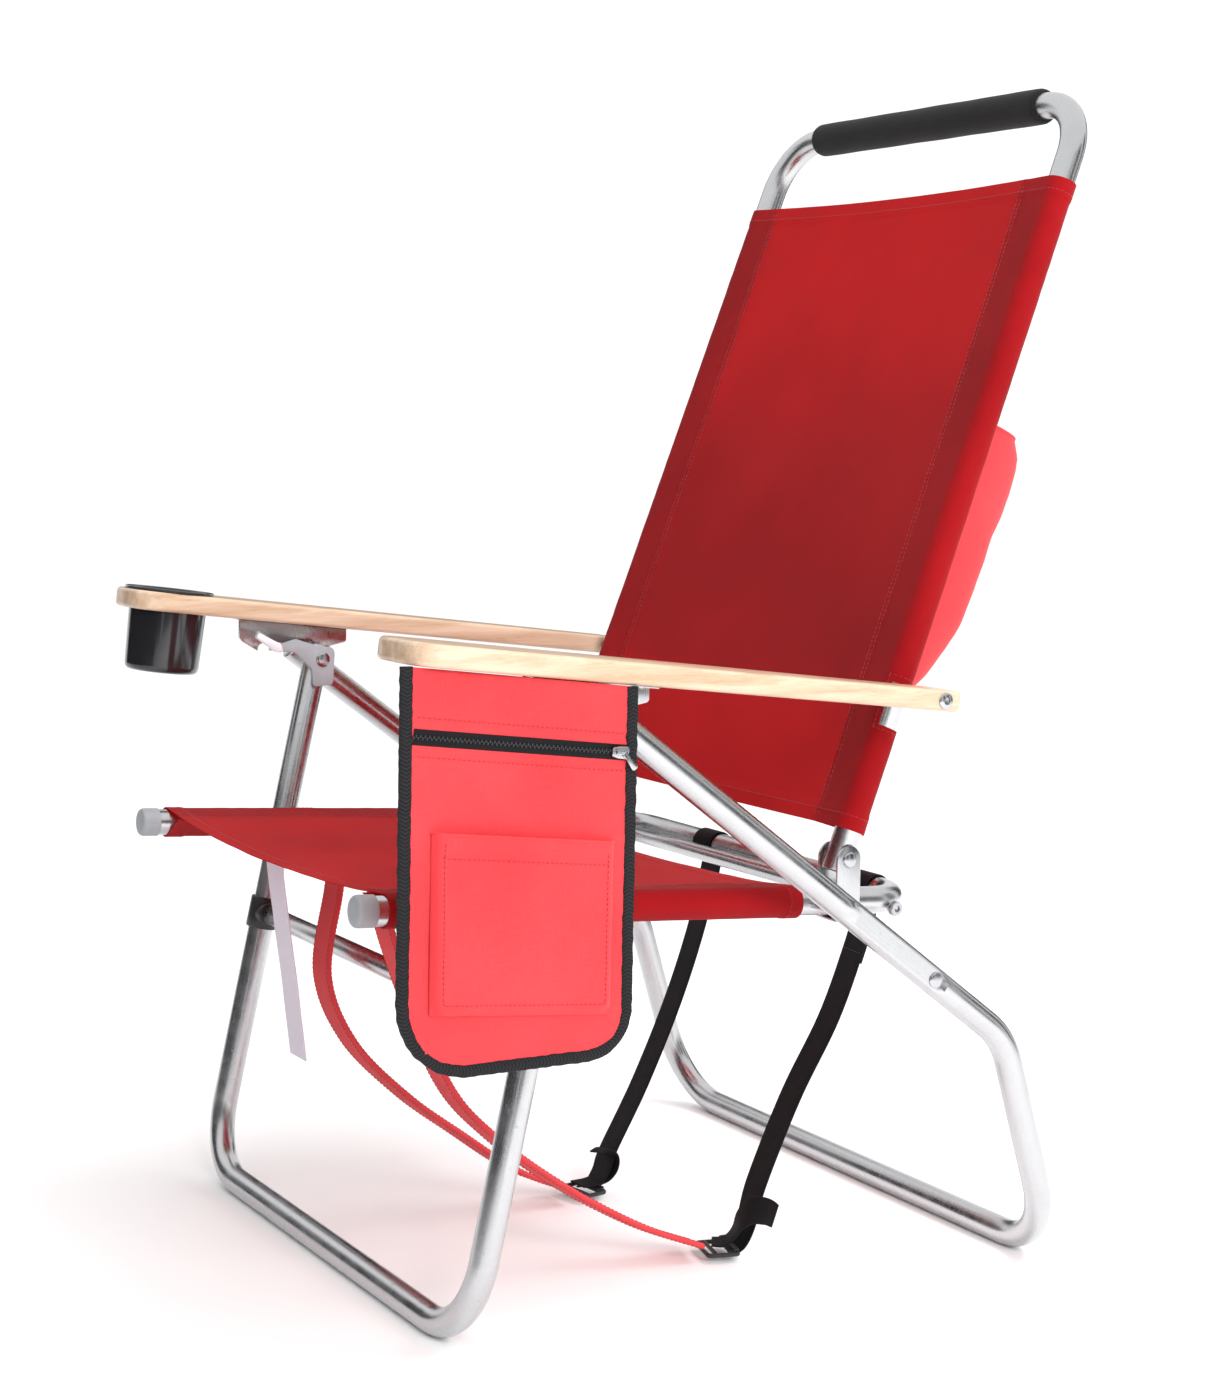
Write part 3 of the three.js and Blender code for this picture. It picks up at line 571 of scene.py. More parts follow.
# ---------- camera ----------
def aim_camera():
    """A camera low at the chair's left front corner, level with the arms and a little rolled."""
    yaw, pitch, roll = math.radians(59.95), math.radians(4.77), math.radians(1.09)
    back = Vector((math.sin(yaw) * math.cos(pitch), -math.cos(yaw) * math.cos(pitch), math.sin(pitch)))
    level = (-back).cross(Vector((0, 0, 1))).normalized()
    upright = level.cross(-back)
    right = level * math.cos(roll) + upright * math.sin(roll)
    up = upright * math.cos(roll) - level * math.sin(roll)
    data = bpy.data.cameras.new("camera")
    data.sensor_fit = "HORIZONTAL"
    data.sensor_width = 36
    data.lens = 74.06
    data.shift_x = 0.0152
    data.shift_y = -0.0446
    camera = bpy.data.objects.new("camera", data)
    camera.matrix_world = Matrix(
        [(right[k], up[k], back[k], (2.083, -1.2254, 0.7717)[k]) for k in range(3)] + [(0, 0, 0, 1)]
    )
    bpy.context.scene.collection.objects.link(camera)
    bpy.context.scene.camera = camera


aim_camera()


# ---------- frame tubes ----------
def frame_path(points, radii):
    """A tube's centre line, from left to right, with its bends rounded."""
    half = [at(x, point) for x, point in points]
    mirrored = [Vector((-p.x, p.y, p.z)) for p in reversed(half)]
    return rounded(half + mirrored, list(radii) + list(reversed(radii)))


def front_legs():
    top = along(APEX, FRONT_FOOT, -LEG_TOP)
    path = frame_path([(FRONT_LEG_X, top), (FRONT_LEG_X, FRONT_FOOT)], [68])
    mesh = rod_mesh(path, TUBE, 48)
    piece("front_leg_tube", mesh, ALUMINIUM, "front_legs", ["front_leg_frame"])
    end = FRONT_LEG_X - TUBE - 3
    bar = rod_mesh([at(x, CROSSBAR) for x in (-end, -end / 2, end / 2, end)], 9.5, 40)
    piece("front_crossbar_tube", bar, ALUMINIUM, "front_legs", ["front_crossbar"])


FLAT_X = 333.6
LEG_RIVET = along(APEX, KNEE, 413)


def rear_legs():
    """The rear leg loop; its upper run is pressed flat on the outside near the knee."""
    top = along(APEX, KNEE, -LEG_TOP)
    path = frame_path([(REAR_LEG_X, top), (REAR_LEG_X, KNEE), (REAR_LEG_X, REAR_FOOT)], [75, 72])
    dense = []
    for a, b in zip(path, path[1:]):
        steps = max(int((b - a).length / 5), 1)
        dense += [a.lerp(b, k / steps) for k in range(steps)]
    dense.append(path[-1])
    mesh = rod_mesh(dense, TUBE, 64)
    run = Vector((KNEE[0] - APEX[0], KNEE[1] - APEX[1])).normalized()
    for vertex in mesh.vertices:
        x, y, z = vertex.co / MM
        reach = Vector((y - APEX[0], z - APEX[1]))
        distance = reach.dot(run)
        aside = abs(reach.x * run.y - reach.y * run.x)
        over = abs(x) - FLAT_X
        if over <= 0 or aside > TUBE + 2:
            continue
        scoop_start = 296 - 9 * (aside / TUBE) ** 2
        scoop_end = 423 - 12 * (1 - math.sqrt(max(1 - (aside / (TUBE + 0.5)) ** 2, 0)))
        inside = min(distance - scoop_start, scoop_end - distance)
        share = min(max(inside / 4.5 + 0.5, 0), 1)
        share = share * share * (3 - 2 * share)
        vertex.co.x -= math.copysign(over * share * MM, x)
    tidy(mesh, 30)
    piece("rear_leg_tube", mesh, ALUMINIUM, "rear_legs", ["rear_leg_frame"])


def seat_frame():
    path = frame_path([(SEAT_X, SEAT_FRONT), (SEAT_X, SEAT_REAR)], [50])
    mesh = rod_mesh(path, TUBE, 48)
    piece("seat_tube", mesh, ALUMINIUM, "seat", ["seat_frame"])
    brace = rod_mesh([at(x, CROSS_TUBE) for x in (-219, -100, 100, 219)], 8, 40)
    piece("seat_brace_tube", brace, ALUMINIUM, "seat", ["seat_cross_tube"])


def back_frame():
    foot = along(CLEVIS, BACK_TOP, -13)
    path = frame_path([(SEAT_X, foot), (BACK_TOP_X, BACK_TOP)], [BACK_BEND])
    mesh = rod_mesh(path, TUBE, 48)
    piece("back_tube", mesh, ALUMINIUM, "back", ["back_frame"])


# ---------- frame fittings ----------
def dome(x0, x1, head=7.5, rise=2.2, shank=4.0):
    """Profile of a rivet with a domed head at each end."""
    profile = []
    for k in range(9):
        angle = math.pi / 2 * k / 8
        profile.append((x0 - rise * math.cos(angle), head * math.sin(angle)))
    profile += [(x0 + 0.25, head), (x0 + 0.25, shank), (x1 - 0.25, shank), (x1 - 0.25, head)]
    for k in range(9):
        angle = math.pi / 2 * (1 - k / 8)
        profile.append((x1 + rise * math.cos(angle), head * math.sin(angle)))
    return profile


def rivets():
    """Bolts and rivets at the pivots with domed heads, the arm pivot bolt with a recess in its outer head."""
    back_pivot_x = back_x(ARM_PIVOT[1])
    kinds = {
        "apex_bolt": (268.4, 337.5, APEX, "front_legs", 1.6),
        "seat_pivot_bolt": (239.0, 300.5, SEAT_PIVOT, "front_legs", 2.2),
        "clevis_rivet": (236.2, 267.8, CLEVIS, "back_hinge", 2.2),
        "arm_pivot_bolt": (back_pivot_x - 13.0, 328.2, ARM_PIVOT, "arm_hinge", 2.2),
    }
    rivet = [(-6, 0), (-6, 4), (0.1, 4), (0.1, 7.5), (0.7, 7.4)]
    rivet += [(0.7 + 1.7 * math.sin(t), 7.2 * math.cos(t)) for t in np.linspace(0.15, math.pi / 2, 8)]
    rivet = [(FLAT_X + x, radius) for x, radius in rivet]
    for side, sign in SIDES:
        for name, (x0, x1, point, body, rise) in kinds.items():
            profile = dome(x0, x1, rise=rise)
            if name == "arm_pivot_bolt":
                recess = [(0.9, 3.4), (0.2, 2.9), (0.1, 0)]
                profile = profile[:-5] + [(x1 + rise * share, radius) for share, radius in recess]
            mesh = turned_mesh(profile, point, sign)
            piece(f"{name}_head_{side}", mesh, STEEL, body, [f"{name}_{side}"])
        mesh = turned_mesh(rivet, LEG_RIVET, sign)
        piece(f"leg_rivet_head_{side}", mesh, STEEL, "rear_legs", [f"leg_rivet_{side}"])


def slide_pins():
    end = REAR_LEG_X - TUBE - 1
    profile = [(237, 0), (237, 6.4), (237.6, 7), (239, 7), (239, 4), (end - 0.8, 4), (end, 3.2), (end, 0)]
    turned_pair("slide_peg", profile, SLIDE_PIN, STEEL, "seat", "slide_pin")


def brace_bolts():
    """Socket bolt and washer at each rear corner of the seat."""
    washer = 263.2
    shank = [(196, 0), (196, 3.4), (196.6, 4), (washer, 4)]
    head = [(0, 7.1), (0.2, 7.3), (1.3, 7.3), (1.5, 7.1), (1.5, 6.2), (4.9, 6.2), (5.4, 5.7)]
    socket = [(5.4, 3.2), (5.1, 3), (3.2, 3), (2.8, 0)]
    profile = shank + [(washer + x, radius) for x, radius in head + socket]
    turned_pair("brace_bolt", profile, CROSS_TUBE, STEEL, "seat", "cross_tube_bolt")


def seat_spacers():
    profile = [(265, 4.3), (265, 7.4), (265.6, 8), (273.9, 8), (274.5, 7.4), (274.5, 4.3)]
    turned_pair("nylon_spacer", profile, SEAT_PIVOT, GREY_PLASTIC, "seat", "seat_spacer")


def saddles():
    """Black collars that hold the crossbar to the front legs."""
    leg = Vector((0, APEX[0] - CROSSBAR[0], APEX[1] - CROSSBAR[1])).normalized()
    half = [(4, 15.6), (14.8, 15.6), (15.6, 15.1), (16, 14.4)]
    heights = [(-h, radius) for h, radius in reversed(half)] + half
    flare = [(267.8, 12.2), (268.3, 12.8), (269.2, 13), (274, 13), (FRONT_LEG_X - 4, 13.4)]
    for side, sign in SIDES:
        centre = at(sign * FRONT_LEG_X, CROSSBAR)
        path = [centre + leg * h for h, _ in heights]
        collar = skin(sweep(path, lambda i: circle(heights[i][1], 48)))
        socket = turned_mesh(flare, CROSSBAR, sign)
        mesh = merged([collar, socket])
        piece(f"crossbar_collar_{side}", mesh, DULL_BLACK, "front_legs",
              [f"crossbar_saddle_{side}"])


def rail_caps():
    """Plug-on caps at the front ends of the seat rails."""
    rail = Vector((0, SEAT_FRONT[0] - SEAT_REAR[0], SEAT_FRONT[1] - SEAT_REAR[1])).normalized()
    steps = [(-5, 13.3), (-4.6, 13.8), (0.3, 13.8), (9, 13.8), (11, 13.3), (12.3, 12.2)]
    steps += [(13, 10.2), (13.1, 6), (13.1, 0.5)]
    for side, sign in SIDES:
        start = at(sign * SEAT_X, SEAT_FRONT)
        path = [start + rail * d for d, _ in steps]
        mesh = skin(sweep(path, lambda i: circle(steps[i][1], 48)))
        piece(f"rail_plug_{side}", mesh, GREY_PLASTIC, "seat", [f"rail_end_cap_{side}"])


def clevises():
    """A bent aluminium strip at each side: floor under the rail and an ear on each side of the two tubes."""
    y, z = CLEVIS
    half = 13
    low = 333.0
    ear = [(y - half, low), (y + half, low)]
    ear += [(y + half * math.cos(t), z + half * math.sin(t)) for t in np.linspace(0, math.pi, 25)]
    for side, sign in SIDES:
        inner = side_plate(ear, 236.5, 239.0, sign, 0.7)
        outer = side_plate(ear, 265.0, 267.5, sign, 0.7)
        floor = [(237.0, low), (267.0, low), (267.0, low + 2.4), (237.0, low + 2.4)]
        base = plate_mesh(floor, lambda u, v, w: Vector((sign * u, y - half + w, v)), 2 * half, 0.5)
        mesh = merged([inner, outer, base])
        piece(f"clevis_bracket_{side}", mesh, ALUMINIUM, "seat", [f"clevis_{side}"])


def racks():
    """Notched plates under the arms, with a folded foot screwed to the wood."""
    y, z = APEX
    rear, front = y + 42, y - 78
    outline = [(rear, arm_under(rear) - 0.3), (rear, z + 16), (rear - 2, z + 14)]
    notch, pitch = 6.5, 17
    for i in range(4):
        centre = y - i * pitch
        outline.append((centre + notch, z + 7.5))
        for turn in np.linspace(0, math.pi, 17):
            outline.append((centre + notch * math.cos(turn), z + 9 + notch * math.sin(turn)))
        outline.append((centre - notch, z + 7.5))
    outline += [(front + 3, z + 18), (front, z + 22), (front, arm_under(front) - 0.3)]
    foot = [(rear, arm_under(rear) - 0.3), (front, arm_under(front) - 0.3)]
    foot += [(front, arm_under(front) - 2.3), (rear, arm_under(rear) - 2.3)]
    screw = [(0.4, 0.02), (0.4, 4.2), (-0.6, 4.0), (-1.8, 2.6), (-2.0, 1.5), (-1.2, 1.2), (-1.0, 0.02)]
    for side, sign in SIDES:
        plate = side_plate(outline, 304.0, 307.0, sign, 0.5)
        flange = side_plate(foot, 304.0, 323.0, sign, 0.4)
        screws = []
        for place in (rear - 15, front + 15):
            middle = Vector((sign * 315, place, arm_under(place) - 2.3))
            rings = []
            for height, radius in screw:
                rings.append([middle + Vector((a, b, height)) for a, b in circle(radius, 24)])
            screws.append(skin(rings))
        mesh = merged([plate, flange, *screws])
        piece(f"notched_rack_{side}", mesh, ALUMINIUM, f"arm_{side}", [f"arm_rack_{side}"])


def latches():
    """The lever beside each front leg, and the pale finger tab moulded over its front end."""
    y, z = APEX
    places = [(12, -26, 4), (14, 12, 8), (-8, 15, 6), (-30, 22, 4), (-48, 17, 10), (-72, 32, 2), (-74, 27, 2)]
    places += [(-52, 10, 10), (-30, 8, 6), (-12, -10, 6), (-10, -28, 4)]
    lever = corners([(y + dy, z + dz, r) for dy, dz, r in places])
    tab_places = [(-46, 17.0, 5), (-71, 29.5, 2.5), (-74, 24.5, 2.5), (-52, 9, 6), (-44, 8.6, 2)]
    tab = corners([(y + dy, z + dz, r) for dy, dz, r in tab_places])
    for side, sign in SIDES:
        body = side_plate(lever, 269.4, 273.6, sign, 0.9)
        piece(f"recline_lever_{side}", body, GREY_PLASTIC, f"latch_{side}",
              [f"latch_lever_{side}"])
        finger = side_plate(tab, 268.0, 275.0, sign, 1.6)
        piece(f"finger_tab_{side}", finger, PALE_PLASTIC, f"latch_{side}")


# ---------- arms ----------
def arm_board(sign, hole):
    """A board with rounded edges that narrows to the rear, laid on the arm's slope."""
    outline = corners([(276, 181, 12), (326, 181, 12), (358, -383, 34), (264, -383, 34)], 10)
    slope = math.hypot(1, ARM_RISE)

    def place(u, v, w):
        rise = (w - ARM_THICKNESS / 2) / slope
        run = (v - ARM_PIVOT[0]) / slope
        return at(sign * u, (ARM_PIVOT[0] + run + rise * ARM_RISE, ARM_PIVOT[1] - run * ARM_RISE + rise))

    mesh = plate_mesh(outline, place, ARM_THICKNESS, bevel=4.2, segments=5)
    if hole:
        cutter = skin([[on_arm(*c, h) for c in circle(CUP_RADIUS + 1, 96)] for h in (-30, 30)])
        tool = bpy.data.objects.new("cutter", cutter)
        bpy.context.scene.collection.objects.link(tool)
        mesh = with_modifier(mesh, "BOOLEAN", operation="DIFFERENCE", object=tool, solver="EXACT")
        bpy.data.objects.remove(tool)
        tidy(mesh, 40)
    return mesh


CUP_X, CUP_Y, CUP_RADIUS, CUP_DEPTH = 311, -332, 39, 62


def on_arm(a, b, height):
    """A point of the cup holder: a across, b along the arm, height square to its top."""
    slope = math.hypot(1, ARM_RISE)
    y = CUP_Y + (b + height * ARM_RISE) / slope
    z = arm_mid(CUP_Y) + (height - b * ARM_RISE) / slope
    return Vector((-CUP_X + a, y, z))


def arms():
    for side, sign in SIDES:
        mesh = arm_board(sign, side == "right")
        piece(f"wood_arm_{side}", mesh, MAPLE, f"arm_{side}", [f"armrest_{side}"])


def cup_holder():
    """A pressed-in cup with a rolled rim, a step inside and a rounded floor."""
    top = ARM_THICKNESS / 2 + 0.3
    low = -ARM_THICKNESS / 2 - CUP_DEPTH
    outside = [(0.05, low), (30, low), (34, low + 0.8), (36.3, low + 3.2), (37, low + 7)]
    outside.append((CUP_RADIUS, top))
    rim = [(43.6, 0), (44.4, 0.5), (44.6, 1.3), (44.1, 2.4), (43, 2.95), (41.5, 3)]
    rim = [(radius, top + height) for radius, height in rim]
    inside = [(38.6, top + 2.9), (37.5, top + 2.2), (36.9, top + 0.6), (36.2, top - 8), (35.7, top - 8.7)]
    floor = [(34.2, low + 9), (33.4, low + 5), (31, low + 2.8), (27, low + 2), (6, low + 2), (5, low + 1.2)]
    floor.append((0.05, low + 1.2))
    rings = [[on_arm(a, b, h) for a, b in circle(r, 96)] for r, h in outside + rim + inside + floor]
    mesh = skin(rings, sharp=50)
    piece("cup_insert", mesh, GLOSS_BLACK, "arm_right", ["cup_holder"])


def grip():
    """Foam tube on the straight of the top bar, faintly uneven, with pinched ends."""
    reach = BACK_TOP_X - BACK_BEND - 4
    xs = [-reach, -reach + 0.4, -reach + 1.6, -reach + 4, *np.linspace(-reach + 9, reach - 9, 60), reach - 4]
    xs += [reach - 1.6, reach - 0.4, reach]
    rings = []
    for x in xs:
        end = reach - abs(x)
        radius = 17.3 - 2.6 * math.exp(-end / 1.3) + 0.35 * ripple((x, 0, 0), 45)
        rings.append([at(x, (BACK_TOP[0] + a, BACK_TOP[1] + b)) for a, b in circle(radius, 64)])
    mesh = skin(rings)
    grip_piece = piece("foam_grip", mesh, FOAM, "back", ["handle_grip"])


# ---------- slings ----------
CLOTH = 1.1  # thickness of the sling cloth
SLEEVE_RADIUS = 13.5  # middle of the cloth where it goes round a tube
SEAM_INSET = 36  # from a tube's axis in to the seam that closes its sleeve
WINDOW_START, WINDOW_END = 44, 102  # reach of a window round the tube, along the cloth from the seam


def sling_half(half_width, dip):
    """Right half of a sling's cross-section as (x, height, distance from the seam along the cloth)."""
    seam_x = half_width - SEAM_INSET
    top = SLEEVE_RADIUS - 0.2
    panel = [(x, top - dip * (1 - (x / half_width) ** 2)) for x in np.linspace(0, seam_x, 44)]
    seam = Vector(panel[-1])
    centre = Vector((half_width, 0))
    away = seam - centre
    facing = math.atan2(away.y, away.x)
    spread = math.acos(SLEEVE_RADIUS / away.length)
    angles = np.linspace(facing - spread, facing + spread - 2 * math.pi, 30)
    round_tube = [centre + SLEEVE_RADIUS * Vector((math.cos(a), math.sin(a))) for a in angles]
    over = [seam.lerp(round_tube[0], t) for t in np.linspace(0, 1, 9)[1:-1]]
    below = Vector((seam_x, seam.y - CLOTH - 0.4))
    under = [round_tube[-1].lerp(below, t) for t in np.linspace(0, 1, 12)[1:]]
    tail = [below + Vector((-d, -0.1)) for d in (2.5, 5)]
    line = [Vector(p) for p in panel] + over + round_tube + under + tail
    at_seam = len(panel) - 1
    lengths = np.cumsum([0] + [(b - a).length for a, b in zip(line, line[1:])])
    placed = [(p.x, p.y, s - lengths[at_seam]) for p, s in zip(line, lengths)]
    return placed, lengths[-1] - lengths[at_seam] - 5


def sling_offset(s, back_seam, x, v, run, seed):
    """How far the cloth stands off its taut shape: seam puckers, sleeve wrinkles, hems and slow waves."""
    offset = 0.0
    for seam, strength in ((s, 0.62), (s + 6, 0.35), (back_seam, 0.6)):
        offset += strength * math.exp(-abs(seam) / 7) * ripple((v, seam * 0.5, 0), 7.5, seed)
    if s > 0 and back_seam > 0:
        offset += 0.45 * abs(ripple((v + 0.6 * s, s * 0.6, 3), 24, seed))
    else:
        offset += 1.0 * ripple((x * 0.7, v, 0), 95, seed) + 0.35 * ripple((x + v, v * 0.5, 9), 33, seed)
    end = min(v, run - v)
    if end < 18:
        offset += 0.75 * min((18 - end) / 1.6, 1)
    offset += 0.3 * math.exp(-abs(end - 16) / 4) * ripple((x, end, s), 8, seed + 2)
    return offset


def sling(name, body, node, start, end, reach, dip, half_width, window, seed):
    """A sling panel whose side edges wrap the tubes and are sewn back under themselves."""
    low, high = along(start, end, reach[0]), along(start, end, reach[1])
    run = reach[1] - reach[0]
    direction = Vector((0, high[0] - low[0], high[1] - low[1])).normalized()
    front = Vector((0, -direction.z, direction.y))
    rows = int(run / 3.2)
    grid, marks = [], []
    for i in range(rows + 1):
        v = run * i / rows
        point = along(low, high, v)
        half, back_seam_at = sling_half(half_width(point), dip)
        section = [(-x, h, s) for x, h, s in reversed(half[1:])] + half
        count = len(section)
        row = []
        for j, (x, h, s) in enumerate(section):
            before, after = section[max(j - 1, 0)], section[min(j + 1, count - 1)]
            tangent = Vector((after[0] - before[0], after[1] - before[1])).normalized()
            out = Vector((-tangent.y, tangent.x))
            lift = sling_offset(s, back_seam_at - s, x, v, run, seed)
            row.append(at(x + out.x * lift, point) + front * (h + out.y * lift))
        grid.append(row)
        marks.append([s for _, _, s in section])
    mesh = skin(grid, closed=False)
    opening = (window[0] - reach[0], window[1] - reach[0])
    cut_windows(mesh, marks, opening, run)
    mesh = thick(mesh, CLOTH)
    tidy(mesh, 50)
    cloth = piece(name, mesh, RED, body, [node])
    seams = sling_seams(name, grid, marks[0], front, opening, run, body)


def cut_windows(mesh, marks, opening, run):
    """Opens the outer side of both sleeves over the stretch where the pivot bolts go through."""
    bm = bmesh.new()
    bm.from_mesh(mesh)
    flat = [(s, run * i / (len(marks) - 1)) for i, row in enumerate(marks) for s in row]
    doomed = []
    for face in bm.faces:
        places = [flat[vertex.index] for vertex in face.verts]
        s = sum(p[0] for p in places) / len(places)
        v = sum(p[1] for p in places) / len(places)
        if WINDOW_START < s < WINDOW_END and opening[0] < v < opening[1]:
            doomed.append(face)
    bmesh.ops.delete(bm, geom=doomed, context="FACES")
    bm.to_mesh(mesh)
    bm.free()


def sling_seams(name, grid, seam_marks, front, opening, run, body):
    """Thread rows: two down each sleeve seam, one along each hem, and a frame round each window."""
    rows, columns = len(grid), len(grid[0])
    step = run / (rows - 1)

    def surface(i, j):
        i, j = min(max(i, 1), rows - 2), min(max(j, 1), columns - 2)
        normal = (grid[i + 1][j] - grid[i - 1][j]).cross(grid[i][j + 1] - grid[i][j - 1]).normalized()
        middle = grid[i][columns // 2]
        outward = normal if normal.dot(grid[i][j] - (middle - front * 40)) > 0 else -normal
        return grid[i][j] + outward * (CLOTH / 2 + 0.15)

    lines = []
    for j, s in enumerate(seam_marks):
        if -7.8 < s < 0.01:
            lines.append([surface(i, j) for i in range(2, rows - 2)])
    hem_row = int(15 / step)
    for i in (hem_row, rows - 1 - hem_row):
        lines.append([surface(i, j) for j in range(14, columns - 14)])
    low_row, high_row = int((opening[0] - 3.5) / step), int((opening[1] + 3.5) / step + 1)
    for half in (range(columns // 2), range(columns // 2, columns)):
        beside = [j for j in half if WINDOW_START - 6 < seam_marks[j] < 72]
        lines.append([surface(low_row, j) for j in beside])
        lines.append([surface(high_row, j) for j in beside])
        top = min(beside, key=lambda j: abs(seam_marks[j] - (WINDOW_START - 4)))
        lines.append([surface(i, top) for i in range(low_row, high_row + 1)])
    mesh = merged([stitch_mesh(line) for line in lines])
    return piece(f"{name}_stitching", mesh, RED_THREAD, body)


def slings():
    """The seat's and the back's cloth, each with a window in its sleeves at the pivot bolts."""
    bolt = math.dist(SEAT_FRONT, SEAT_PIVOT)
    sling("seat_cloth", "seat", "seat_sling", SEAT_FRONT, SEAT_REAR, (14, 424), 12,
          lambda p: SEAT_X, (bolt - 13, bolt + 13), 1.3)
    bolt = math.dist(CLEVIS, ARM_PIVOT)
    sling("back_cloth", "back", "back_sling", CLEVIS, BACK_TOP, (26, 668), 10,
          lambda p: back_x(p[1]), (bolt - 33, bolt + 9), 5.1)


# ---------- back pocket ----------
# Distances up the back from the clevis, and how far the bag stands out at each of them.
POCKET_HALF = 216
POCKET_LOW, POCKET_HIGH = 150, 438
POCKET_PROFILE = ((POCKET_LOW, 2), (156, 28), (170, 50), (200, 68), (250, 86), (330, 90), (395, 93),
                  (423, 90), (POCKET_HIGH, 74))


def pocket_depth(height, x):
    """How far the pocket's rear face stands behind the sling: boxy across, fullest near its top."""
    heights, depths = zip(*POCKET_PROFILE)
    swell = sum(np.interp(height + step, heights, depths) for step in (-9, -4, 0, 4, 9)) / 5
    across = max(1 - abs(x / POCKET_HALF) ** 34, 0) ** 0.35
    crown = 1 + 0.05 * math.cos(math.pi * x / POCKET_HALF / 2)
    return swell * across * crown


def back_pocket():
    """Storage pocket behind the back: a bulging bag with gathered corners, open at a hemmed mouth."""
    rows, columns = 88, 110
    grid = []
    for i in range(rows + 1):
        height = POCKET_LOW + (POCKET_HIGH - POCKET_LOW) * i / rows
        low = min(i / 7, 1)
        row = []
        for j in range(columns + 1):
            turn = math.pi * j / columns
            x = -POCKET_HALF * math.sin(math.pi / 2 * math.cos(turn))
            inner = 1 - abs(x) / POCKET_HALF
            depth = pocket_depth(height, x) * (1 - (1 - low) ** 2.4) + 2.2
            slow = 1.7 * ripple((x, height * 1.5, 0), 58, 7)
            quick = 0.9 * ripple((x, height, 4), 24, 3)
            soft = min(depth / 30, 1) * (slow + quick)
            gather = 1.6 * math.exp(-(height - POCKET_LOW) / 16) * ripple((x, height * 0.3, 1), 10, 2)
            gather += 1.1 * math.exp(-inner * POCKET_HALF / 12) * ripple((x * 0.3, height, 6), 11, 4)
            hem = 0.8 if POCKET_HIGH - height < 17 else 0.0
            y, z = back_line(height, max(depth + soft + gather + hem, 2.6))
            row.append(at(x, (y, z)))
        grid.append(row)
    mesh = thick(skin(grid, closed=False), 1.3)
    tidy(mesh, 60)
    bag = piece("rear_pocket", mesh, RED_BAG, "back", ["back_pocket"])
    behind = at(0, back_line(0, 1)) - at(0, back_line(0, 0))
    edge_row = [p + behind * 0.4 for p in grid[rows]]
    edge = skin(sweep(resample(edge_row, 3), circle(1.5, 12)))
    seams = [grid[rows - 5][4:-4], grid[3][6:-6]]
    seams += [[row[j] for row in grid[4:-2]] for j in (9, -10)]
    threads = merged([stitch_mesh([p + behind * 0.9 for p in seam])
                                               for seam in seams])
    binding = piece("rear_pocket_binding", edge, RED_BAG, "back")
    stitching = piece("rear_pocket_stitching", threads, RED_THREAD, "back")


# ---------- arm pouch ----------
POUCH_FRONT, POUCH_REAR, POUCH_LOW = -387.1, -172.0, 256.0
POUCH_X = (340.5, 346.7)
POUCH_MIDDLE = (POUCH_X[0] + POUCH_X[1]) / 2


def zip_height(y):
    return 532 - 0.112 * (y + 376)


def pouch_outline(inset):
    """The pouch's side-view edge, from its top front corner down and round to its top rear corner."""
    front, rear, low = POUCH_FRONT + inset, POUCH_REAR - inset, POUCH_LOW + inset
    points = [at(0, (front, arm_under(front) - 1)), at(0, (front, low)), at(0, (rear, low)),
              at(0, (rear, arm_under(rear) - 1))]
    return rounded(points, [62 - inset * 0.6, 40 - inset * 0.6], 16)


def pouch_swell(y, z):
    """How far the pouch's faces stand from its middle, from flat at the seam to full inside."""
    edge = min(y - POUCH_FRONT, POUCH_REAR - y, z - POUCH_LOW)
    top = arm_under(y) - z
    inside = 1 - math.exp(-max(edge - 5, 0) / 13)
    return inside * (0.55 + 0.45 * (1 - math.exp(-max(top, 0) / 30)))


def inside_outline(y, z, outline):
    """Even-odd test of a side-view point against an edge line closed along the arm."""
    hit = False
    for a, b in zip(outline, outline[1:] + outline[:1]):
        if (a.z > z) != (b.z > z) and y < (b.y - a.y) * (z - a.z) / (b.z - a.z) + a.y:
            hit = not hit
    return hit


def pouch_face(outline):
    """A triangulated side-view patch inside the outline: points (y, z) and faces."""
    spacing = 3.6
    rim = resample(outline, spacing) + resample([outline[-1], outline[0]], spacing)[1:-1]
    points = [Vector((p.y, p.z)) for p in rim]
    inner = []
    y = POUCH_FRONT
    while y < POUCH_REAR:
        z = POUCH_LOW
        while z < arm_under(y):
            place = Vector((y, z))
            if inside_outline(y, z, rim) and min((place - q).length for q in points) > spacing * 0.6:
                inner.append(place)
            z += spacing
        y += spacing
    ring = [list(range(len(points)))]
    verts, _, faces, *_ = delaunay_2d_cdt(points + inner, [], ring, 1, 1e-4)
    return verts, faces


def pouch_place(y, z, side):
    """A point of the pouch's outer (side 1) or inner (side -1) face."""
    full = pouch_swell(y, z)
    half = 0.5 + 2.2 * full
    wave = full * (1.9 * ripple((y * 1.5, z * 0.8, side), 58, 11) + 0.7 * ripple((y + z, z, side), 23, 5))
    edge = min(y - POUCH_FRONT, POUCH_REAR - y, z - POUCH_LOW)
    wave += 0.5 * math.exp(-abs(edge - 9) / 5) * ripple((y, z, 2), 9, 8)
    seam = abs(z - zip_height(y))
    wave *= 1 - 0.94 * math.exp(-((seam / 17) ** 4))
    wave -= 0.7 * math.exp(-((seam - 13) / 2.2) ** 2)
    return Vector((POUCH_MIDDLE + side * (half + wave), y, z))


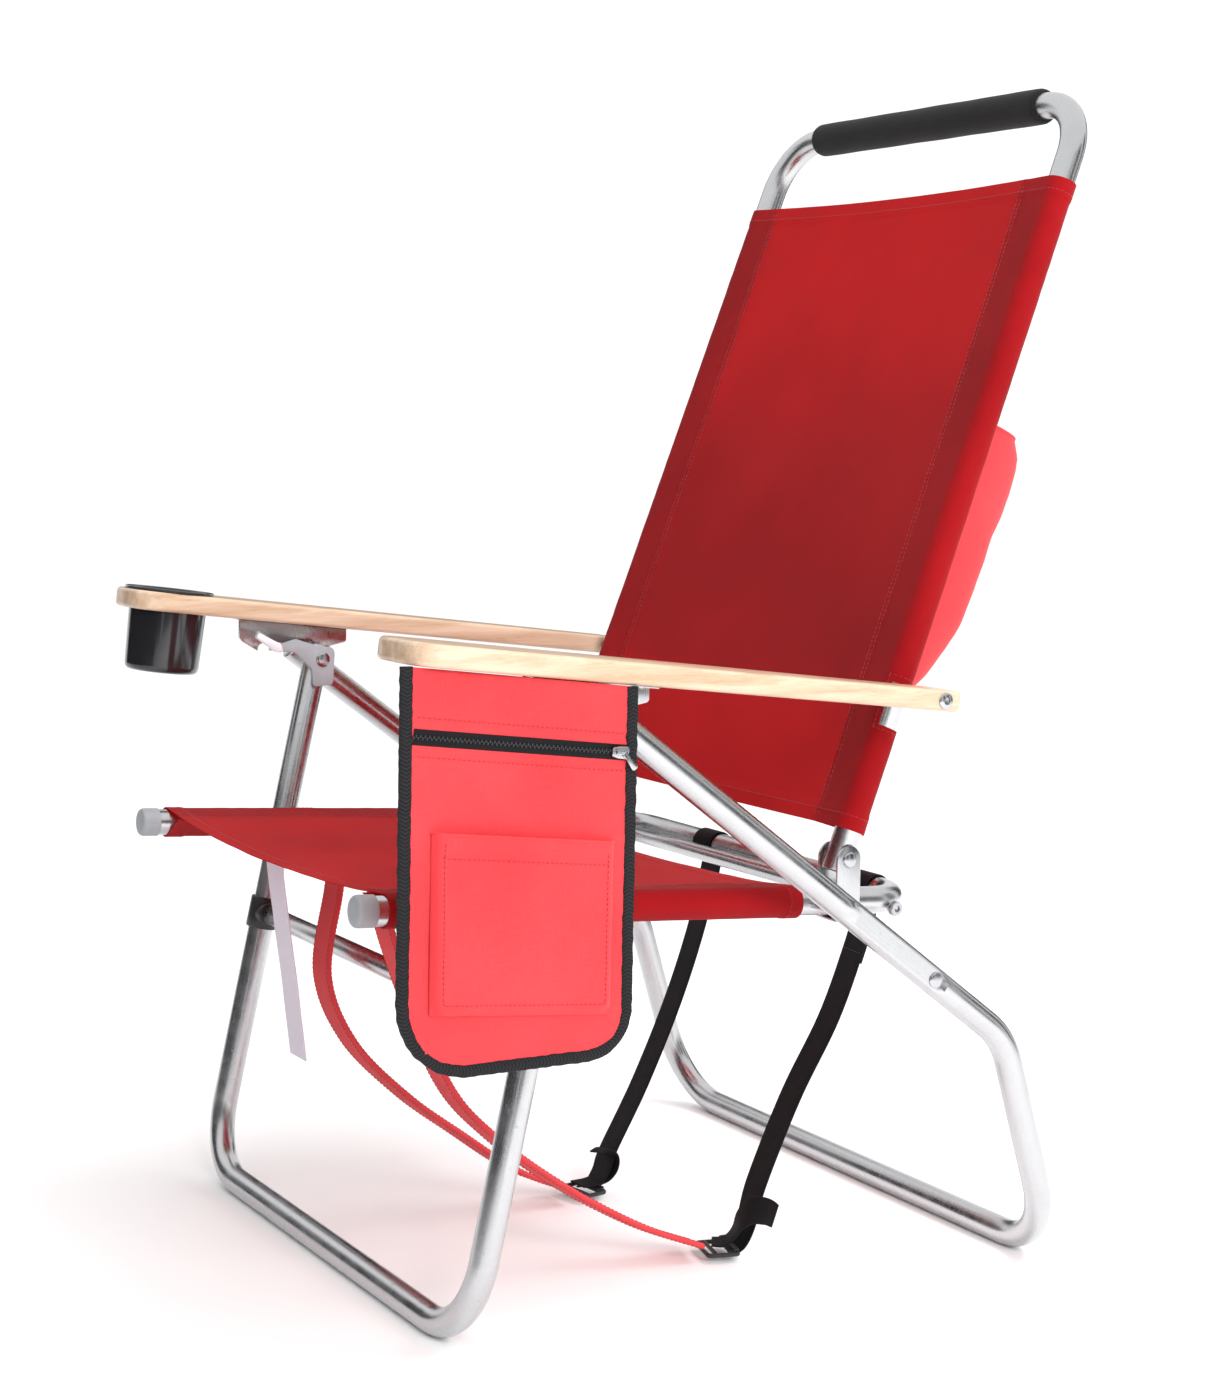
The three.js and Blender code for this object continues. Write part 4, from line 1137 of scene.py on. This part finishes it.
def arm_pouch():
    """The hanging pouch: two cloth faces sewn into a black ribbed binding."""
    points, faces = pouch_face(pouch_outline(3.5))
    bm = bmesh.new()
    uv = bm.loops.layers.uv.new("metres")
    for side in (1, -1):
        verts = [bm.verts.new(pouch_place(p.x, p.y, side) * MM) for p in points]
        for face in faces:
            made = bm.faces.new([verts[i] for i in (face if side > 0 else face[::-1])])
            for loop in made.loops:
                loop[uv].uv = Vector((loop.vert.co.y, loop.vert.co.z))
    mesh = bpy.data.meshes.new("pouch")
    bm.to_mesh(mesh)
    bm.free()
    mesh = thick(mesh, 0.9, -1.0)
    mesh.polygons.foreach_set("use_smooth", [True] * len(mesh.polygons))
    mesh.update()
    pouch = piece("side_pouch", mesh, RED_BAG, "arm_left", ["arm_pouch"])
    binding = pouch_binding()
    threads = []
    for shift in (-15.5, 15.5):
        line = []
        for y in np.linspace(POUCH_FRONT + 14, POUCH_REAR - 12, 60):
            line.append(pouch_place(y, zip_height(y) + shift, 1) + ACROSS * 0.25)
        threads.append(stitch_mesh(line))
    threads = merged(threads)
    stitching = piece("side_pouch_stitching", threads, RED_THREAD, "arm_left")
    return [pouch, binding, stitching]


def pouch_binding():
    """Ribbed black tape folded over the pouch's edge."""
    path = resample([Vector((POUCH_MIDDLE, p.y, p.z)) for p in pouch_outline(5.2)], 1.6)
    half = 2.5
    outer = [(half * 0.5, -5.2), (half, -3.6), (half, 0), (half, 3.6), (half * 0.8, 4.8)]
    section = outer + [(-a, b) for a, b in reversed(outer)]

    def shape(i):
        wave = 0.3 * ripple((i * 3, 0, 0), 14, 6)
        rib = 0.22 if i % 2 else 0.0
        return [(a + math.copysign(wave + rib, a), b + 3 * wave) for a, b in section]

    mesh = skin(sweep(path, shape))
    return piece("side_pouch_binding", mesh, BINDING_TAPE, "arm_left")


# ---------- zip ----------
def zip_closure():
    """Zip tape with two rows of teeth on the pouch, and the steel slider with its pull tag."""
    line = [pouch_place(y, zip_height(y), 1) + ACROSS * 0.2 for y in np.linspace(-376, -178, 70)]
    tape = skin(sweep(line, flat_section(13, 1.0), side=(0, 0, 1)))
    tape_piece = piece("zip_tape", tape, BLACK_TAPE, "arm_left")
    direction = (line[-1] - line[0]).normalized()
    up = ACROSS.cross(direction).normalized()
    teeth = []
    for i, centre in enumerate(resample(line, 1.9)):
        lean = 0.75 if i % 2 else -0.75
        tooth = [(1.2, 0.0), (1.2, 0.7), (0.7, 1.1), (-0.7, 1.1), (-1.2, 0.7), (-1.2, 0.0)]
        rings = []
        for k in (-0.7, 0.7):
            rings.append([centre + direction * k + up * (a + lean) + ACROSS * (b + 0.4) for a, b in tooth])
        teeth.append(skin(rings))
    chain = merged(teeth)
    piece("zip_teeth", chain, DULL_BLACK, "arm_left")

    slider_y, slider_z = -190.0, zip_height(-190.0)
    face = POUCH_X[1] + 0.5

    def on_zip(u, v, w):
        return Vector((face + w, slider_y, slider_z)) + direction * u + up * v

    def both_sides(half):
        """A rounded plan from its upper half, which runs from the front to the rear."""
        return corners(half + [(u, -v, radius) for u, v, radius in reversed(half)])

    plan = both_sides([(-8.2, 3.4, 1.5), (-2, 5.0, 2), (7.6, 5.4, 2.5)])
    shoe = plate_mesh(plan, lambda u, v, w: on_zip(u, v, 0.6 + w), 2.2, 0.7, 3)
    bridge_path = [on_zip(u, 0, w) for u, w in ((-4.5, 2.2), (-3.6, 3.4), (0, 3.9), (3.6, 3.4), (4.5, 2.2))]
    bridge = skin(sweep(smooth_line(bridge_path, 5), flat_section(3.4, 0.9), side=up))
    tag_outline = both_sides([(0, 2.6, 1.2), (5, 1.9, 1), (17, 3.4, 3)])
    hang = Vector((0, 0.62, -0.78)).normalized()
    beside = ACROSS.cross(hang).normalized()
    start = on_zip(3.2, -0.5, 3.0)
    tag = plate_mesh(tag_outline, lambda u, v, w: start + hang * u + beside * v + ACROSS * w,
                     1.1, 0.4, 2)
    slider = merged([shoe, bridge, tag])
    piece("zip_runner", slider, STEEL, "zip", ["zip_slider"])
    return [tape_piece]


# ---------- patch pocket ----------
PATCH_FRONT, PATCH_REAR, PATCH_LOW, PATCH_TOP = -360.0, -195.0, 300.0, 456.0


def patch_pocket():
    """A small pocket with a folded gusset on the pouch, hemmed along its open top."""
    rows, columns = 46, 64
    grid = []
    for i in range(rows + 1):
        t = i / rows
        row = []
        for j in range(columns + 1):
            share = j / columns
            y = PATCH_FRONT + (PATCH_REAR - PATCH_FRONT) * share
            low = PATCH_LOW + 10 - 15 * share
            top = PATCH_TOP - 18 * share
            z = low + (top - low) * t
            aside = min(share, 1 - share) * (PATCH_REAR - PATCH_FRONT)
            below = t * (top - low)
            corner = math.hypot(max(14 - aside, 0), max(14 - below, 0))
            edge = min(aside, below, 14 - corner)
            rise = (9.5 - 2.5 * share) * (1 - math.exp(-max(edge, 0) / 2.2))
            sag = 1.8 * ripple((y * 1.3, z * 0.8, 0), 48, 13) + 0.6 * ripple((y, z, 5), 19, 3)
            hem = 0.45 if t > 0.9 else 0.0
            x = POUCH_X[1] + 1.1 + rise * (0.86 + 0.1 * t) + sag * min(edge / 10, 1) * (edge > 0) + hem
            row.append(Vector((x, y, z)))
        grid.append(row)
    mesh = thick(skin(grid, closed=False), 0.9)
    tidy(mesh, 60)
    pocket = piece("patch_pocket", mesh, RED_BAG, "arm_left", ["pouch_patch_pocket"])
    out = ACROSS * 0.75
    hem_line = [p + out for p in grid[int(rows * 0.89)]][2:-2]
    edge_in = 3
    around = [grid[i][edge_in] + out for i in range(rows - 2, edge_in, -1)]
    around += [grid[edge_in][j] + out for j in range(edge_in, columns - edge_in)]
    around += [grid[i][columns - edge_in] + out for i in range(edge_in, rows - 2)]
    threads = merged([stitch_mesh(hem_line), stitch_mesh(around)])
    stitching = piece("patch_pocket_stitching", threads, RED_THREAD, "arm_left")
    rim = skin(sweep(resample(grid[rows], 3), circle(1.1, 10)))
    rim_piece = piece("patch_pocket_rim", rim, RED_BAG, "arm_left")
    return [pocket, stitching, rim_piece], grid


def pouch_and_pocket():
    pouch, *with_pouch = arm_pouch()
    with_pouch += zip_closure()
    (pocket, *with_pocket), grid = patch_pocket()


# ---------- straps ----------
STRAP_WIDTH, STRAP_THICK = 40, 5.2
WEBBING_WIDTH, WEBBING_THICK = 32, 1.8
FRONT_ROUTES = {
    "left": [(100, -292, 371), (102, -276, 308), (107, -229, 190), (117, -183, 133), (130, -115, 80),
             (145, -42, 37), (157, 18, 13)],
    "right": [(-78, -246, 369), (-77, -252, 328), (-74, -264, 250), (-69, -238, 184), (-62, -184, 127),
              (-56, -128, 84), (-51, -66, 40), (-48, -6, 13)],
}
REAR_ROUTES = {
    "left": [(185, 184, 330), (184, 171, 287), (181, 146, 221), (178, 107, 150), (173, 74, 70), (170, 65, 32),
             (167, 56, 13), (164, 45, 10)],
    "right": [(-87, 184, 330), (-84, 166, 263), (-78, 134, 185), (-71, 92, 105), (-62, 50, 42), (-59, 41, 24),
              (-56, 31, 12), (-53, 21, 10)],
}
BUCKLES = {"left": (163, 38, 8), "right": (-52, 14, 8)}
# Each loose tail: its route from the buckle's middle, and the degrees it has twisted by its end.
TAILS = {
    "left": ([(0, -6, 9), (4, 5, 10), (9, 13, 20), (13, 18, 33), (21, 26, 43), (31, 36, 45), (38, 43, 42)],
             85),
    "right": ([(0, -6, 9), (2, 10, 9), (4, 24, 12), (5, 33, 21), (5, 34, 33), (4, 26, 41), (3, 16, 39)], 12),
}
CLOSING_ROUTE = [(-120, -297, 371), (-120, -292, 330), (-120, -280, 250), (-120, -268, 160)]


def padded_section(width, thick_mm):
    """A padded strap's outline: full in the middle and thin at its sewn edges."""
    half = width / 2
    flat_edge = 4.0
    xs = [half * math.cos(t) for t in np.linspace(0, math.pi, 21)]
    rise = [max(0.7, thick_mm / 2 * min((half - abs(x)) / flat_edge, 1) ** 0.6) for x in xs]
    over = [(x, r) for x, r in zip(xs, rise)]
    under = [(x, -r) for x, r in zip(reversed(xs), reversed(rise))]
    return over + under


def band_frames(line):
    """Across and over directions at each point of a strap that starts level across the chair."""
    frames, across = [], Vector(ACROSS)
    for i, centre in enumerate(line):
        tangent = (line[min(i + 1, len(line) - 1)] - line[max(i - 1, 0)]).normalized()
        across = (across - tangent * across.dot(tangent)).normalized()
        frames.append((centre, across.copy(), tangent.cross(across)))
    return frames


def shoulder_straps():
    for side, _ in SIDES:
        line = resample(smooth_line(FRONT_ROUTES[side]), 4)
        base = padded_section(STRAP_WIDTH, STRAP_THICK)
        seed = 3.0 if side == "left" else 8.0

        def shape(i):
            swell = 0.35 * ripple((i * 4, 0, 0), 26, seed)
            return [(a + 0.5 * ripple((i * 4, a, 0), 30, seed), b * (1 + 0.14 * swell) + 0.4 * swell)
                    for a, b in base]

        strap = skin(sweep(line, shape))
        strap = piece(f"shoulder_pad_{side}", strap, RED_BAG, "seat", [f"shoulder_strap_{side}"])
        across, over = STRAP_WIDTH / 2 - 4.2, STRAP_THICK / 2 + 0.05
        rows = []
        for edge in (-across, across):
            for face in (-over, over):
                rows.append([c + a * edge + o * face for c, a, o in band_frames(line)])
        threads = merged([stitch_mesh(row) for row in rows])
        stitching = piece(f"shoulder_stitching_{side}", threads, RED_THREAD, "seat")
        buckle(side)


def buckle(side):
    """A moulded ladder buckle: outer frame, two cross bars, and the webbing's loose tail."""
    centre = Vector(BUCKLES[side])
    ahead = Vector(REAR_ROUTES[side][-1]) - Vector(FRONT_ROUTES[side][-1])
    ahead.z = 0
    ahead.normalize()
    beside = Vector((ahead.y, -ahead.x, 0))
    up = (0, 0, 1)

    def place(u, v, w):
        return centre + beside * u + ahead * v + Vector(up) * (w - 2.6)

    plan = ((0, -15), (20, -15), (20, 15), (-20, 15), (-20, -15), (0, -15))
    frame_line = rounded([place(u, v, 2.2) for u, v in plan], [4, 4, 4, 4], 6)
    rim = skin(sweep(frame_line[:-1], flat_section(4.4, 3.8), side=up), loop=True)
    bars = []
    for v, height in ((-7.5, 2.6), (6.5, 3.8)):
        bar = [place(u, v, height + 0.8 * (1 - (u / 20) ** 2)) for u in np.linspace(-19, 19, 14)]
        bars.append(skin(sweep(bar, circle(1.9, 16), side=up)))
    lip = plate_mesh(corners([(-19, 9, 2), (19, 9, 2), (16, 16.5, 3), (-16, 16.5, 3)]),
                     lambda u, v, w: place(u, v, w + 3.4 + 0.12 * (v - 9)), 2.2, 0.8, 3)
    mesh = merged([rim, *bars, lip])
    body = piece(f"ladder_buckle_{side}", mesh, DULL_BLACK, "seat", [f"strap_buckle_{side}"])
    tail_points, full_turn = TAILS[side]
    line = resample(smooth_line([place(*p) for p in tail_points]), 2)
    flat = flat_section(WEBBING_WIDTH * 0.8, WEBBING_THICK)

    def twisted(i):
        turn = math.radians(full_turn) * (i / len(line)) ** 1.6
        along, over = math.cos(turn), math.sin(turn)
        return [(a * along - b * over, a * over + b * along) for a, b in flat]

    tail_mesh = skin(sweep(line, twisted, side=beside))
    tail = piece(f"webbing_tail_{side}", tail_mesh, BLACK_TAPE, "seat")
    return [body, tail]


def rear_webbing():
    """Webbing looped round the seat's rear bar and sewn to itself, running down to the buckle."""
    for side, _ in SIDES:
        route = REAR_ROUTES[side]
        x = route[0][0]
        radius = TUBE + WEBBING_THICK / 2 + 0.3
        line = resample(smooth_line([(x, SEAT_REAR[0], SEAT_REAR[1] - radius), *route[1:]]), 3)
        section = flat_section(WEBBING_WIDTH, WEBBING_THICK)
        frames = band_frames(line)
        run = skin(sweep(line, section))
        loop_line = [at(x, (SEAT_REAR[0] + radius * math.cos(t), SEAT_REAR[1] + radius * math.sin(t)))
                     for t in np.linspace(-math.pi / 2, 1.5 * math.pi, 49)[:-1]]
        ring = skin(sweep(loop_line, section), loop=True)
        second = [c - o * (WEBBING_THICK + 0.2) for c, _, o in frames[2:20]]
        fold = skin(sweep(second, section))
        strap = piece(f"rear_webbing_{side}", run, BLACK_TAPE, "seat",
                      [f"strap_webbing_{side}"])
        loop_mesh = merged([ring, fold])
        loop = piece(f"webbing_loop_{side}", loop_mesh, BLACK_TAPE, "seat")
        rows = []
        for c, a, o in (frames[5], frames[16]):
            for face in (-2.9, 1.1):
                rows.append([c + a * d + o * face for d in np.linspace(-13, 13, 12)])
        threads = merged([stitch_mesh(row, 2.6, 2.0) for row in rows])
        stitching = piece(f"webbing_stitching_{side}", threads, BLACK_THREAD, "seat")


def closing_strap():
    """Pale tape that hangs from under the seat and ties the folded chair shut."""
    line = resample(smooth_line(CLOSING_ROUTE), 3)
    width = 38

    def shape(i):
        curl = 0.9 * ripple((i * 3, 0, 0), 60, 4)
        return [(a, b + curl * (a * 2 / width) ** 2) for a, b in flat_section(width, 1.8)]

    mesh = skin(sweep(line, shape))
    strap = piece("closing_tape", mesh, PALE_TAPE, "seat", ["closing_strap"])


# ---------- stage ----------
def area_light(name, location, target, size, power):
    data = bpy.data.lights.new(name, "AREA")
    data.shape = "RECTANGLE"
    data.size, data.size_y = size
    data.energy = power
    light = bpy.data.objects.new(name, data)
    light.location = location
    light.rotation_euler = (Vector(target) - Vector(location)).to_track_quat("-Z", "Y").to_euler()
    bpy.context.scene.collection.objects.link(light)
    return light


def plane(name, material, width, height):
    """An upright rectangle that faces along Y, centred on its origin."""
    x, z = width / 2, height / 2
    mesh = bpy.data.meshes.new(name)
    mesh.from_pydata([(-x, 0, -z), (x, 0, -z), (x, 0, z), (-x, 0, z)], [], [(0, 1, 2, 3)])
    mesh.materials.append(material)
    made = bpy.data.objects.new(name, mesh)
    bpy.context.scene.collection.objects.link(made)
    return made


# Bearing in degrees and width in metres.
STRIPS = ((-85, 1.9), (-50, 1.0), (-22, 1.9), (14, 1.1), (42, 1.5), (75, 1.2), (112, 1.4), (160, 2.0),
          (215, 1.6))


def reflection_strips(material):
    """Dark uprights in a ring round the chair, seen only in its polished metal."""
    strips = []
    for i, (bearing, width) in enumerate(STRIPS):
        strip = plane(f"strip_{i}", material, width, 2.1)
        turn = math.radians(bearing)
        strip.location = (3.6 * math.cos(turn), 3.6 * math.sin(turn), 1.1)
        strip.rotation_euler = (0, 0, turn + math.pi / 2)
        for ray in ("camera", "diffuse", "shadow", "transmission"):
            setattr(strip, f"visible_{ray}", False)
        strips.append(strip)
    return strips


def studio():
    """A white floor and surroundings, soft lights, a flag that shades the front, and strips for the metal."""
    world = bpy.data.worlds.new("studio")
    world.use_nodes = True
    world.node_tree.nodes["Background"].inputs["Color"].default_value = (1, 1, 1, 1)
    world.node_tree.nodes["Background"].inputs["Strength"].default_value = 1.1
    bpy.context.scene.world = world
    pale = Shader("floor_paint", (0.93, 0.93, 0.93), 0.9, Specular_IOR_Level=0.1)
    pale.set("Roughness", pale.ramp(pale.noise(pale.space((3, 3, 3))), 0.3, 0.7, 0.85, 0.95))
    ground = plane("floor", pale.material, 60, 60)
    ground.rotation_euler = (math.radians(-90), 0, 0)
    dark = Shader("dark_card", (0.03, 0.03, 0.032), 0.9, Specular_IOR_Level=0.0).material
    flag = plane("flag", dark, 4.4, 1.3)
    flag.location = (-0.9, -2.1, 0.66)
    flag.visible_camera = False
    flag.visible_shadow = False
    lights = [
        area_light("key", (3.3, -0.5, 1.7), (0, 0, 0.6), (1.5, 1.5), 92),
        area_light("top", (0.6, 1.5, 2.9), (0, 0.2, 0.7), (2.0, 2.0), 60),
    ]
    for light in lights:
        light.visible_glossy = False
    reflection_strips(dark)
    bpy.context.scene.view_settings.view_transform = "Standard"


# ---------- build ----------
front_legs()
rear_legs()
seat_frame()
back_frame()
rivets()
slide_pins()
brace_bolts()
seat_spacers()
saddles()
rail_caps()
clevises()
racks()
latches()
arms()
cup_holder()
grip()
slings()
back_pocket()
pouch_and_pocket()
shoulder_straps()
rear_webbing()
closing_strap()
studio()
